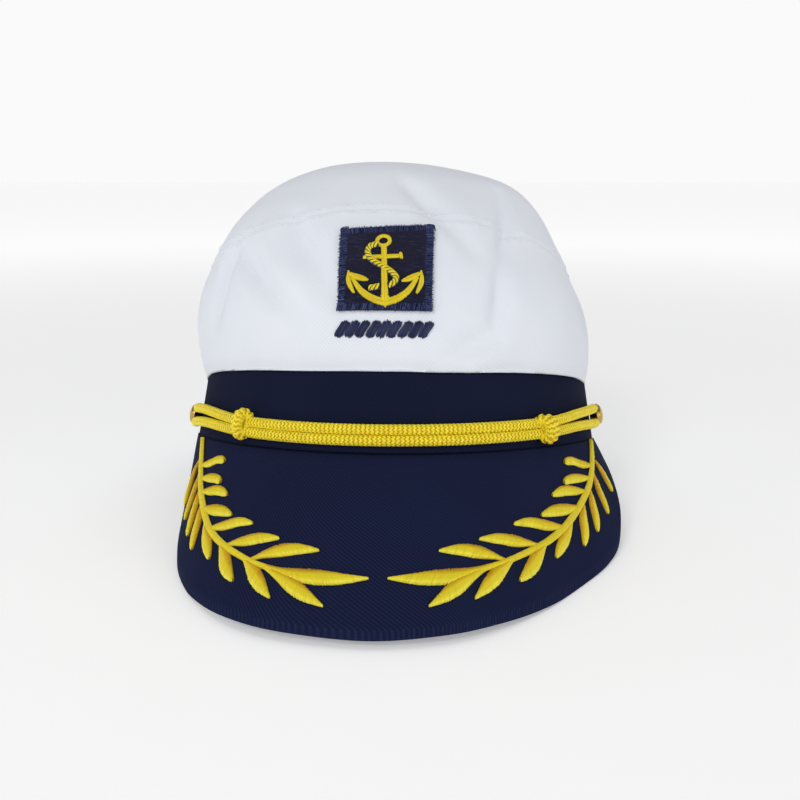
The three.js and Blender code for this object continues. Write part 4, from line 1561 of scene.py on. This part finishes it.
@dataclass
class Cord:
    """The doubled gold cord: one loop of two strands across the band, round both buttons."""

    bench: Bench
    diameter: float = 3.8
    button_angle: float = 80.0
    button_neck: float = 1.1
    knots: dict[Side, float] = field(default_factory=lambda: {Side.LEFT: -36.0, Side.RIGHT: 42.0})

    @property
    def loop_offset(self) -> float:
        """How far each strand's middle lies from the cord's middle line at the buttons."""
        return self.button_neck / 2 + 2 * self.bench.form.clearance + self.diameter / 2

    def middle_z(self, angle: Array) -> Array:
        """Height of the cord's middle line."""
        form = self.bench.form
        share = CORD_ROUTE.read("height", angle / DEGREE)
        return form.rim_z(angle) + (form.hem_z(angle) - form.rim_z(angle)) * share

    def place(self, angle: Array, above: Array) -> Array:
        """Points against the band, where the cord lies.

        Args:
            angle: Angles from the front.
            above: How far above the cord's middle line.

        Returns:
            The points.
        """
        form = self.bench.form
        z = self.middle_z(angle) + above
        return form.oval(angle, form.band_outset(angle, z) + form.clearance + self.diameter / 2, z)

    def strand(self, angle: Array, side: int) -> Array:
        """Points of one strand.

        Args:
            angle: Angles from the front.
            side: 1 for the upper strand and -1 for the lower.

        Returns:
            The points.
        """
        knot = np.where(angle < 0, self.knots[Side.LEFT], self.knots[Side.RIGHT]) * DEGREE
        button = np.where(angle < 0, -1, 1) * self.button_angle * DEGREE
        parting = np.clip((angle - knot) / (button - knot), 0, 1)
        near = self.diameter / 2
        apart = near + (self.loop_offset - near) * parting**2 * (3 - 2 * parting)
        return self.place(angle, side * apart)

    def run(self) -> CordRun:
        """The whole closed loop."""
        button = self.button_angle * DEGREE
        parts = []
        for side in (1, -1):
            parts.append(self.strand(side * np.linspace(-button, button, 240), side))
            turn = np.linspace(0, math.pi, 14)[1:-1]
            past = self.loop_offset * np.sin(turn) / (self.bench.form.head_length / 2)
            parts.append(self.place(side * (button + past), side * self.loop_offset * np.cos(turn)))
        points = np.concatenate(parts)
        along = unit(np.roll(points, -1, 0) - np.roll(points, 1, 0))
        out = unit(points * np.array([1.0, 1.0, 0.0]))
        up = unit(np.cross(along, out))
        return CordRun(points, up, np.cross(up, along), True)

    def core(self, name: str, run: CordRun, radius: float) -> None:
        """The smooth tube under the stitches of a stretch of cord.

        Args:
            name: Its name.
            run: The stretch of cord.
            radius: The tube's radius.
        """
        run = run.resample(1.2)
        turns = np.linspace(0, TURN, 13)[:-1]
        rings = [run.points + radius * (run.up * math.cos(t) + run.away * math.sin(t)) for t in turns]
        points = np.stack(rings)
        cloth = np.zeros((points.shape[0] + 1, points.shape[1] + 1, 2))
        mesh = grid_mesh(name, self.bench.rest.metres(points), cloth, Wrap(True, run.closed))
        # The core shows only in the gaps between the stitches; its tint and crest paint it in the cord's
        # deepest shade.
        keep_numbers(mesh, {"tint": 1.0, "crest": -1.0})
        self.bench.body(name, mesh, self.bench.finishes.cord, Slot.GOLD_CORD)

    def make(self) -> None:
        """Makes the cord and its two knots."""
        run = self.run()
        radius = self.diameter / 2
        stitches = Stitches()
        Knit().dress(stitches, run, radius)
        self.bench.stitched("cord_knit", stitches, self.bench.finishes.cord, Slot.GOLD_CORD, "cord_loop")
        self.core("cord_core", run, radius * 0.84)
        for side, angle in self.knots.items():
            Knot(self, side, angle * DEGREE).make()


@dataclass
class BandPlace:
    """A place on the band under the cord, with the directions out, along and up."""

    foot: Array
    out: Array
    along: Array
    up: Array

    @classmethod
    def under(cls, cord: Cord, angle: float) -> "BandPlace":
        """The place under the cord at an angle.

        Args:
            cord: The cord.
            angle: The angle from the front.

        Returns:
            The place.
        """
        form = cord.bench.form
        at = np.array(angle)
        z = cord.middle_z(at)
        foot = form.oval(at, form.band_outset(at, z), z)
        along = unit(form.oval(at + 0.01, 0.0, 0.0) - form.oval(at - 0.01, 0.0, 0.0))
        slant = form.oval(at, -form.band_flare, form.hem_z(at)) - form.oval(at, 0.0, form.rim_z(at))
        out = unit(np.cross(along, slant))
        return cls(foot, out, along, np.cross(out, along))

    def points(self, out: Array, along: Array, up: Array) -> Array:
        """Points from lengths along the three directions."""
        lengths = np.stack(np.broadcast_arrays(out, along, up), -1)
        return self.foot + lengths @ np.stack([self.out, self.along, self.up])


# How far each knot spreads along the cord, half its height, and how far above the middle line it sits
KNOT_SHAPES = {Side.LEFT: (1.5, 4.0, 0.4), Side.RIGHT: (4.2, 3.6, -0.8)}


@dataclass
class Knot:
    """A wrapped knot: the cord's own end taken twice round both strands."""

    cord: Cord
    side: Side
    angle: float
    thickness: float = 3.9
    middle_out: float = 3.7
    half_depth: float = 2.3

    def make(self) -> None:
        """Makes the knot."""
        place = BandPlace.under(self.cord, self.angle)
        hand = self.side.value
        turn = np.linspace(-0.35, 3.35, 170) * math.pi
        share = (turn / math.pi + 0.35) / 3.7
        spread, tall, rise = KNOT_SHAPES[self.side]
        along = hand * (spread * (share - 0.5) + 0.4 * np.sin(turn))
        up = tall * np.cos(turn) + rise
        out = self.middle_out + self.half_depth * np.sin(turn) + 0.5 * np.sin(math.pi * share)
        points = place.points(out, along, up)
        heading = unit(np.gradient(points, axis=0))
        inner = place.points(self.middle_out + 0 * out, along, 0 * up)
        first = unit(np.cross(heading, points - inner))
        run = CordRun(points, first, unit(np.cross(first, heading)), False)
        stitches = Stitches()
        Knit(columns=7, row=1.5).dress(stitches, run, self.thickness / 2)
        name = f"knot_{self.side.name.lower()}"
        bench = self.cord.bench
        bench.stitched(f"{name}_knit", stitches, bench.finishes.cord, Slot.GOLD_CORD, name)
        self.cord.core(f"{name}_core", run, self.thickness / 2 * 0.84)


@dataclass
class Button:
    """A domed gilt button whose neck stands in the cord's loop."""

    cord: Cord
    side: Side
    diameter: float = 9.4
    height: float = 5.9
    rim: float = 2.9
    steps: int = 72

    def make(self) -> None:
        """Makes the button as a turned shape."""
        cord, form = self.cord, self.cord.bench.form
        neck, dome = cord.button_neck / 2, self.diameter / 2
        under = self.rim
        rise = self.height - under
        profile = [(0.0, form.clearance), (neck, form.clearance), (neck, under - 0.25), (neck + 0.3, under),
                   (dome * 0.9, under), (dome * 0.965, under + 0.04), (dome, under + rise * 0.16),
                   (dome * 0.985, under + rise * 0.3), (dome * 0.94, under + rise * 0.38),
                   (dome * 0.9, under + rise * 0.39)]
        profile += [(dome * 0.9 * math.cos(t), under + rise * (0.39 + 0.61 * math.sin(t)))
                    for t in np.linspace(0.08, math.pi / 2, 14)]
        place = BandPlace.under(cord, self.side.value * cord.button_angle * DEGREE)
        turns = np.linspace(0, TURN, self.steps + 1)[:-1]
        points = np.stack([place.points(out + 0 * turns, radius * np.cos(turns), radius * np.sin(turns))
                           for radius, out in profile])
        cloth = np.zeros((len(profile), self.steps + 1, 2))
        name = f"button_{self.side.name.lower()}"
        cord.bench.grid(f"{name}_dome", points, cloth, Wrap(False, True), cord.bench.finishes.gilt,
                        Slot.GOLD_METAL, name)


# Strokes of the anchor through places in shares of the patch's half-width and half-height; then the widths
# at the start, in the middle and at the end, and the relief, in millimetres
ANCHOR_STROKES = (
    (((-0.05, 0.47), (-0.02, -0.15), (0.02, -0.84)), (1.9, 2.1, 2.6), 1.0),
    (((-0.47, 0.17), (-0.07, 0.167), (0.29, 0.176)), (1.3, 1.6, 1.5), 0.9),
    (((0.311, 0.255), (0.320, 0.18), (0.329, 0.105)), (0.9, 1.2, 0.9), 0.95),
    (((-0.70, -0.30), (-0.476, -0.602), (-0.230, -0.765), (0.045, -0.850)), (0.9, 2.4, 2.6), 1.0),
    (((0.69, -0.32), (0.494, -0.602), (0.263, -0.768), (0.000, -0.850)), (0.9, 2.4, 2.6), 1.0),
    (((0.02, -0.70), (0.02, -0.83), (0.022, -0.945)), (3.2, 2.2, 0.3), 1.02),
    (((-0.77, -0.14), (-0.76, -0.39), (-0.64, -0.64)), (0.4, 1.7, 0.7), 0.85),
    (((-0.745, -0.20), (-0.61, -0.285), (-0.345, -0.372)), (0.8, 2.3, 0.5), 0.85),
    (((0.755, -0.17), (0.765, -0.42), (0.665, -0.655)), (0.4, 1.7, 0.7), 0.85),
    (((0.725, -0.23), (0.59, -0.315), (0.350, -0.398)), (0.8, 2.3, 0.5), 0.85),
)

# The rope that winds round the anchor's shank: over it, and then under it
ROPE_ROUTES = (
    ((-0.17, 0.49), (-0.329, 0.446), (-0.383, 0.311), (-0.338, 0.155), (-0.230, 0.044), (-0.032, -0.083),
     (0.134, -0.203), (0.232, -0.320), (0.190, -0.440), (0.075, -0.495)),
    ((-0.105, -0.505), (-0.206, -0.527), (-0.325, -0.545)),
)


@dataclass
class Badge:
    """The navy patch on the crown's front, its fouled anchor and the rope-twist bar under it."""

    bench: Bench
    width: float = 32.8
    height: float = 34.2
    wall: float = 1.3
    rise: float = 23.3
    shift: float = 0.5
    skew: float = 2.4
    border: float = 2.7
    border_relief: float = 0.4
    border_pitch: float = 0.19
    anchor_relief: float = 1.1
    rope_width: float = 2.1
    rope_gap: float = 0.35
    ring_across: float = -0.065
    ring_up: float = 0.587
    ring_radius: float = 0.135
    ring_width: float = 1.35
    bar_length: float = 33.4
    bar_width: float = 6.2
    bar_rise: float = 13.6
    bar_relief: float = 0.9
    bar_twists: int = 9
    bar_pitch: float = 0.36

    def place(self, across: Array, up: Array, lift: Array | float = 0.0) -> Array:
        """Points over the patch, in shares of its half-width and half-height."""
        across, up = np.broadcast_arrays(np.asarray(across, float), np.asarray(up, float))
        askew = self.skew / 2 * across * (up + 1) / 2
        height = self.rise + (up + 1) * self.height / 2 + askew
        return self.bench.form.front(self.shift + across * self.width / 2, height, lift)

    @property
    def face(self) -> float:
        """How high the patch's face lies over the crown."""
        return self.bench.form.clearance + self.wall

    def patch(self) -> None:
        """The patch's base cloth."""
        shares = np.linspace(-1, 1, 41)
        lows = [(x * 0.995, self.bench.form.clearance) for x in shares]
        highs = [(x * 0.995, self.face - 0.05) for x in shares[::-1]]
        rows = [self.place(shares * 0.995, up, lift) for up, lift in lows + highs]
        cloth = np.zeros((len(rows) + 1, len(shares), 2))
        for row, (up, _) in enumerate(lows + highs + lows[:1]):
            cloth[row] = np.stack([shares * self.width / 2, np.full(len(shares), up * self.height / 2)], -1)
        points = np.stack(rows)
        mesh = grid_mesh("badge_patch_cloth", self.bench.rest.metres(points), cloth, Wrap(True, False))
        self.bench.body("badge_patch_cloth", mesh, self.bench.finishes.band, Slot.NAVY_THREAD, "badge_patch")

    def fill(self) -> None:
        """Rows of flat stitches over the patch's field."""
        random = np.random.default_rng(31)
        threads = Threads()
        pitch, stitch = 0.34, 2.6
        inner = 1 - 2 * self.border / self.width * 0.9
        for row, up in enumerate(np.arange(-inner, inner, 2 * pitch / self.height)):
            start = -inner - (row % 3) / 3 * 2 * stitch / self.width
            while start < inner:
                end = start + 2 * stitch / self.width
                across = np.linspace(max(start, -inner), min(end, inner), 5)
                if across[-1] - across[0] > 0.02:
                    arch = self.face - 0.06 + 0.08 * np.sin(np.linspace(0, math.pi, 5))
                    threads.lay(self.place(across, up + 0.002 * random.normal(), arch), 0.19,
                                0.5 * random.random() ** 4, 1.0)
                start = end
        self.bench.sewn("badge_field_stitches", threads, self.bench.finishes.navy_thread,
                        Slot.NAVY_THREAD, sides=4)

    def edge(self) -> None:
        """The ragged satin border of the patch."""
        random = np.random.default_rng(37)
        threads = Threads()
        across = np.linspace(0, 1, 7)
        arch = self.face + self.border_relief * np.sin(math.pi * (0.12 + 0.8 * across)) - 0.1
        halves = (self.width / 2, self.height / 2)
        for upright, (half_long, half_short) in enumerate((halves, halves[::-1])):
            for end in (-1, 1):
                for at in np.arange(-half_long, half_long + 0.1, self.border_pitch):
                    outer = half_short + 0.2 + 0.2 * random.normal()
                    inner = half_short - self.border + 0.16 * random.normal()
                    reach = end * (outer + (inner - outer) * across) / half_short
                    lean = (at + 0.25 * random.normal() + 0.5 * across) / half_long
                    pair = (reach, lean) if upright else (lean, reach)
                    threads.lay(self.place(*pair, arch + 0.07 * random.normal()), 0.13, random.random() ** 4,
                                np.clip(0.5 * random.normal(size=7), -1, 1))
        self.bench.sewn("badge_border_stitches", threads, self.bench.finishes.navy_thread, Slot.NAVY_THREAD)

    def anchor(self) -> None:
        """The anchor with its ring, and the rope wound round its shank over a navy padding that paints the
        shadow round the rope and between its turns.
        """
        random = np.random.default_rng(41)
        threads, pads, shadows = Threads(), [], []
        foot = self.face + 0.15

        def painted_light(share: Array, across: Array) -> Array:
            """Painted shade along the middle of a stroke and a painted highlight along its edges."""
            return np.clip(0.6 - 1.25 * np.abs(across), -0.65, 1)

        for places, widths, relief in ANCHOR_STROKES:
            spine = Spine.on(self.place, bend_through(places, 40))

            def taper(share: Array, widths: Sequence[float] = widths) -> Array:
                """Half-widths of a stroke, from its three widths."""
                start, middle, end = widths
                bow = 4 * share * (1 - share)
                return (start + (end - start) * share + (middle - (start + end) / 2) * bow) / 2

            satin = Satin(0.32, 0.18, 0.35, self.anchor_relief * relief, foot)
            satin.cover(threads, spine, taper, painted_light, random)
            pads.append(satin.padding(spine, taper, 24))
        ring = np.linspace(0, TURN, 50)
        squash = self.width / self.height
        path = np.stack([self.ring_across + self.ring_radius * np.cos(ring),
                         self.ring_up + self.ring_radius * squash * np.sin(ring)], -1)
        spine = Spine.on(self.place, path, closed=True)
        satin = Satin(0.28, 0.17, 0.2, self.anchor_relief * 0.9, foot)

        def even(share: Array) -> Array:
            """The ring's half-width."""
            return np.full(np.shape(share), self.ring_width / 2)

        satin.cover(threads, spine, even, painted_light, random)
        pads.append(satin.padding(spine, even, 40))
        for route in ROPE_ROUTES:
            spine = Spine.on(self.place, bend_through(route, 70))
            satin = Satin(0.24, 0.13, 0.9, self.anchor_relief * 1.1, foot + 0.35, group=6)

            def rope(share: Array) -> Array:
                """The rope's half-width."""
                return np.full(np.shape(share), self.rope_width / 2)

            def under(share: Array) -> Array:
                """The half-width of the navy padding of painted shadow."""
                return np.full(np.shape(share), self.rope_width / 2 + self.rope_gap)

            def pale(share: Array, across: Array) -> Array:
                """A painted highlight along the rope's edges."""
                return 0.1 - 0.6 * np.abs(across)

            satin.cover(threads, spine, rope, pale, random)
            # A navy padding a little wider than the rope: painted shadow along the rope's edges and in the
            # gaps between its turns.
            shadow_pad = Satin(relief=self.anchor_relief * 1.06, foot=foot + 0.2)
            shadows.append(shadow_pad.padding(spine, under, 60))
        finishes = self.bench.finishes
        self.bench.sewn("badge_anchor_satin", threads, finishes.gold_thread, Slot.GOLD_THREAD, "badge_anchor")
        self.bench.pads("badge_anchor_padding", pads, finishes.gold_thread, Slot.GOLD_THREAD)
        self.bench.pads("badge_rope_painted_shadow", shadows, finishes.navy_thread, Slot.NAVY_THREAD)

    def bar(self) -> None:
        """A bar of navy rope twist."""
        random = np.random.default_rng(43)
        threads = Threads()
        across = np.linspace(-1, 1, 9)
        bow = across - 0.35 * across**3
        count = round(self.bar_length / self.bar_pitch)
        middle = self.bar_rise + self.bar_width / 2
        for k in range(count):
            share = (k + 0.5) / count
            phase = share * self.bar_twists % 1.0
            crest = math.sin(math.pi * phase)
            if crest < 0.22:
                continue
            high = self.bench.form.clearance - 0.2 + self.bar_relief * (0.45 + 0.55 * crest)
            lift = high * np.sqrt(1 - 0.93 * across**2)
            x = self.shift + self.bar_length * (share - 0.5) + 0.3 * self.bar_width * bow
            up = middle + self.bar_width / 2 * across * (0.72 + 0.28 * crest) * (1 + 0.05 * random.normal())
            threads.lay(self.bench.form.front(x, up, lift), 0.23, 0.6 * random.random(), 0.45)
        self.bench.sewn("badge_bar_twist", threads, self.bench.finishes.navy_thread,
                        Slot.NAVY_THREAD, "badge_bar")

    def make(self) -> None:
        """Makes the badge."""
        self.patch()
        self.fill()
        self.edge()
        self.anchor()
        self.bar()


# A laurel stem on the visor: shares of the way round to its end, and of the way to its edge
LAUREL_STEM = (
    (0.752, 0.020), (0.728, 0.110), (0.679, 0.286), (0.631, 0.419), (0.580, 0.513), (0.534, 0.585),
    (0.483, 0.647), (0.426, 0.688), (0.367, 0.714), (0.311, 0.733), (0.265, 0.749), (0.215, 0.760),
)

# Its leaves, root to tip, each with its width in millimetres and how blunt its tip is, or below 0 how
# far out it is widest
LAUREL_LEAVES = (
    (((0.672, 0.262), (0.614, 0.213), (0.571, 0.167), (0.534, 0.164)), 3.8, 0.85),
    (((0.639, 0.361), (0.580, 0.328), (0.538, 0.318), (0.513, 0.331)), 3.8, 0.70),
    (((0.605, 0.460), (0.550, 0.419), (0.504, 0.393), (0.455, 0.402)), 4.2, 0.40),
    (((0.558, 0.555), (0.501, 0.535), (0.450, 0.516), (0.401, 0.519)), 4.6, 0.30),
    (((0.478, 0.653), (0.418, 0.602), (0.361, 0.549), (0.309, 0.536)), 4.5, 0.30),
    (((0.368, 0.698), (0.311, 0.648), (0.262, 0.609), (0.209, 0.593)), 4.9, 0.15),
    (((0.267, 0.736), (0.217, 0.680), (0.161, 0.639), (0.108, 0.632)), 5.3, 0.05),
    (((0.258, 0.748), (0.150, 0.772), (0.078, 0.768), (0.016, 0.757)), 5.8, -0.90),
    (((0.724, 0.239), (0.755, 0.396), (0.773, 0.555), (0.781, 0.690)), 3.4, 0.30),
    (((0.677, 0.351), (0.684, 0.504), (0.694, 0.630), (0.697, 0.739)), 3.7, 0.30),
    (((0.627, 0.459), (0.624, 0.585), (0.622, 0.689), (0.613, 0.793)), 4.0, 0.30),
    (((0.577, 0.551), (0.563, 0.658), (0.557, 0.749), (0.543, 0.832)), 4.2, 0.30),
    (((0.511, 0.632), (0.483, 0.704), (0.453, 0.759), (0.426, 0.811)), 4.5, 0.30),
    (((0.400, 0.697), (0.369, 0.759), (0.336, 0.823), (0.301, 0.868)), 4.9, 0.25),
    (((0.296, 0.736), (0.252, 0.792), (0.216, 0.847), (0.178, 0.902)), 5.0, 0.00),
    (((0.222, 0.757), (0.163, 0.802), (0.119, 0.853), (0.080, 0.906)), 5.3, -0.45),
)

# A leaf's half-width along its length, a share of its greatest
LEAF_OUTLINE = Table(
    "share sharp blunt late",
    (0.00, 0.22, 0.36, 0.24),
    (0.12, 0.36, 0.62, 0.30),
    (0.28, 0.74, 0.90, 0.46),
    (0.45, 1.00, 1.00, 0.84),
    (0.60, 0.95, 1.00, 1.00),
    (0.75, 0.74, 0.97, 0.80),
    (0.88, 0.42, 0.88, 0.46),
    (0.96, 0.22, 0.66, 0.22),
    (1.00, 0.10, 0.36, 0.08),
)


@dataclass
class Laurel:
    """A laurel spray on one side of the visor: a stem and its leaves in satin stitch."""

    bench: Bench
    side: Side
    leaf_relief: float = 1.05
    stem_width: float = 2.5
    shift: float = 0.06

    def spot(self, sweep: float, depth: float) -> tuple[float, float]:
        """A place on the visor for this side."""
        return self.side.value * sweep + self.shift * (0.2 + sweep), depth

    def make(self) -> None:
        """Makes the spray."""
        bench, form = self.bench, self.bench.form
        random = np.random.default_rng(50 + self.side.value)
        threads, pads = Threads(), []
        stem = bend_through([self.spot(*place) for place in LAUREL_STEM], 120)
        satin = Satin(0.36, 0.21, 0.9, self.leaf_relief * 1.15, 0.15)

        def stem_taper(share: Array) -> Array:
            """The stem's half-width."""
            return self.stem_width / 2 * (0.7 + 0.3 * np.sin(math.pi * share))

        def stem_painted_light(share: Array, across: Array) -> Array:
            """A little painted shade along the middle and a painted highlight along the edges."""
            return 0.3 - 0.9 * np.abs(across)

        spine = Spine.on(form.visor, stem)
        satin.cover(threads, spine, stem_taper, stem_painted_light, random)
        pads.append(satin.padding(spine, stem_taper, 60))
        for places, width, tip in LAUREL_LEAVES:
            spine = Spine.on(form.visor, bend_through([self.spot(*place) for place in places], 50))

            def half_width(share: Array, width: float = width, tip: float = tip) -> Array:
                """A leaf's half-width, between a sharp leaf's and a blunt or a late one's."""
                sharp = LEAF_OUTLINE.read("sharp", share)
                other = LEAF_OUTLINE.read("blunt" if tip > 0 else "late", share)
                return width / 2 * (sharp + (other - sharp) * abs(tip))

            def painted_light(share: Array, across: Array) -> Array:
                """Painted shade on a leaf's upper half and at its root, a painted highlight on its lower half
                and at its tip.
                """
                upper = -across * self.side.value
                glow = 1.15 * ease((upper + 0.1) / 0.9) * (1 - 0.7 * share**2) + 0.45 * (1 - share) ** 3
                return np.clip(glow - 0.9 * ease((-upper - 0.15) / 0.7) - 0.5 * share**4, -1, 1)

            satin = Satin(0.36, 0.21, 0.55 * self.side.value, self.leaf_relief, 0.12)
            satin.cover(threads, spine, half_width, painted_light, random)
            pads.append(satin.padding(spine, half_width, 20))
        name = f"laurel_{self.side.name.lower()}"
        bench.sewn(f"{name}_satin", threads, bench.finishes.gold_thread, Slot.GOLD_THREAD, name)
        bench.pads(f"{name}_padding", pads, bench.finishes.gold_thread, Slot.GOLD_THREAD)


# The soft boxes: each one's name, place and size in metres, and power in watts
LAMPS = (
    ("key", (-0.5, -1.25, 0.9), 0.42, 5.8),
    ("fill", (1.0, -1.1, 0.5), 1.0, 2.1),
    ("over", (0.1, 0.2, 1.6), 1.4, 3.9),
)


@dataclass
class Studio:
    """The pale floor, the soft light and the camera; lengths here are metres."""

    eye: Vector = field(default_factory=lambda: Vector((0.02417, -0.41180, 0.13771)))
    target: Vector = field(default_factory=lambda: Vector((0.00123, 0.02677, 0.04020)))
    lens: float = 45.51
    sensor: float = 36.0
    floor_size: float = 40.0
    floor_near: float = 0.29
    floor_far: float = 0.565
    floor_reach: tuple[float, float] = (0.25, 1.9)
    sky_low: float = 0.955
    sky_top: float = 0.28
    sky_reach: tuple[float, float] = (0.22, 0.5)

    def floor(self) -> None:
        """A plain matt floor."""
        half = self.floor_size / 2
        mesh = bpy.data.meshes.new("floor")
        ends = [(-half, -half, 0), (half, -half, 0), (half, half, 0), (-half, half, 0)]
        mesh.from_pydata(ends, [], [(0, 1, 2, 3)])
        tree = ShaderTree("pale_floor")
        grain = tree.noise(40.0, 2.0)
        colour = tree.blend(grain, (0.93, 0.93, 0.935), (0.95, 0.95, 0.955))
        place = tree.node("ShaderNodeTexCoord")
        length = tree.node("ShaderNodeVectorMath", {"operation": "LENGTH"}, {0: place.outputs["Object"]})
        away = Value(tree, length.outputs["Value"])
        near, far = (self.floor_near,) * 3, (self.floor_far,) * 3
        glow = tree.blend(away.step(*self.floor_reach), near, far)
        mesh.materials.append(tree.surface(grain, 0.0, {
            "Base Color": colour, "Roughness": 0.9, "Emission Color": glow, "Emission Strength": 1.0}))
        floor = bpy.data.objects.new("floor", mesh)
        bpy.context.scene.collection.objects.link(floor)
        floor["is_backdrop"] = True

    def lamp(self, name: str, place: Sequence[float], size: float, power: float) -> None:
        """A square soft box that faces the cap.

        Args:
            name: Its name.
            place: Where it hangs.
            size: How wide it is.
            power: Its power.
        """
        light = bpy.data.lights.new(name, "AREA")
        light.size, light.energy = size, power
        lamp = bpy.data.objects.new(name, light)
        lamp.location = place
        lamp.rotation_euler = (Vector((0, 0, 0.06)) - Vector(place)).to_track_quat("-Z", "Y").to_euler()
        bpy.context.scene.collection.objects.link(lamp)

    def sky(self) -> None:
        """White light from all round, brightest low down behind the floor's far edge."""
        world = bpy.data.worlds.new("studio")
        world.use_nodes = True
        world.node_tree.nodes.clear()
        tree = Tree(world.node_tree)
        way = tree.node("ShaderNodeTexCoord")
        height = tree.node("ShaderNodeSeparateXYZ", None, {0: way.outputs["Generated"]})
        glow = tree.node("ShaderNodeMapRange", {"interpolation_type": "SMOOTHSTEP"}, {
            "Value": height.outputs[2], "From Min": self.sky_reach[0], "From Max": self.sky_reach[1],
            "To Min": self.sky_low, "To Max": self.sky_top})
        light = tree.node("ShaderNodeBackground", None,
                          {"Color": (1.0, 1.0, 1.0, 1.0), "Strength": glow.outputs[0]})
        tree.node("ShaderNodeOutputWorld", None, {"Surface": light.outputs[0]})
        bpy.context.scene.world = world

    def camera(self) -> None:
        """The camera at the photograph's place."""
        data = bpy.data.cameras.new("camera")
        data.lens, data.sensor_width = self.lens, self.sensor
        data.clip_start = 0.01
        camera = bpy.data.objects.new("camera", data)
        camera.location = self.eye
        camera.rotation_euler = (self.target - self.eye).to_track_quat("-Z", "Y").to_euler()
        bpy.context.scene.collection.objects.link(camera)
        bpy.context.scene.camera = camera

    def make(self) -> None:
        """Sets up the studio."""
        self.floor()
        self.sky()
        for lamp in LAMPS:
            self.lamp(*lamp)
        self.camera()
        bpy.context.scene.view_settings.view_transform = "Standard"


def corners(box: tuple[Vector, Vector]) -> list[list[float]]:
    """A box as plain lists of numbers."""
    return [[round(x, 6) for x in corner] for corner in box]


def main() -> None:
    """Builds the cap and its studio."""
    logging.basicConfig(level=logging.INFO, format="%(name)s %(message)s")
    cad_box = corners(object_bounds())
    bench = Bench()
    Studio().make()
    Crown(bench).make()
    Band(bench).make()
    Visor(bench).make()
    cord = Cord(bench)
    cord.make()
    Badge(bench).make()
    for side in Side:
        Button(cord, side).make()
        Laurel(bench, side).make()
    {"cad": cad_box, "visual": corners(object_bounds())}


if __name__ == "__main__":
    main()
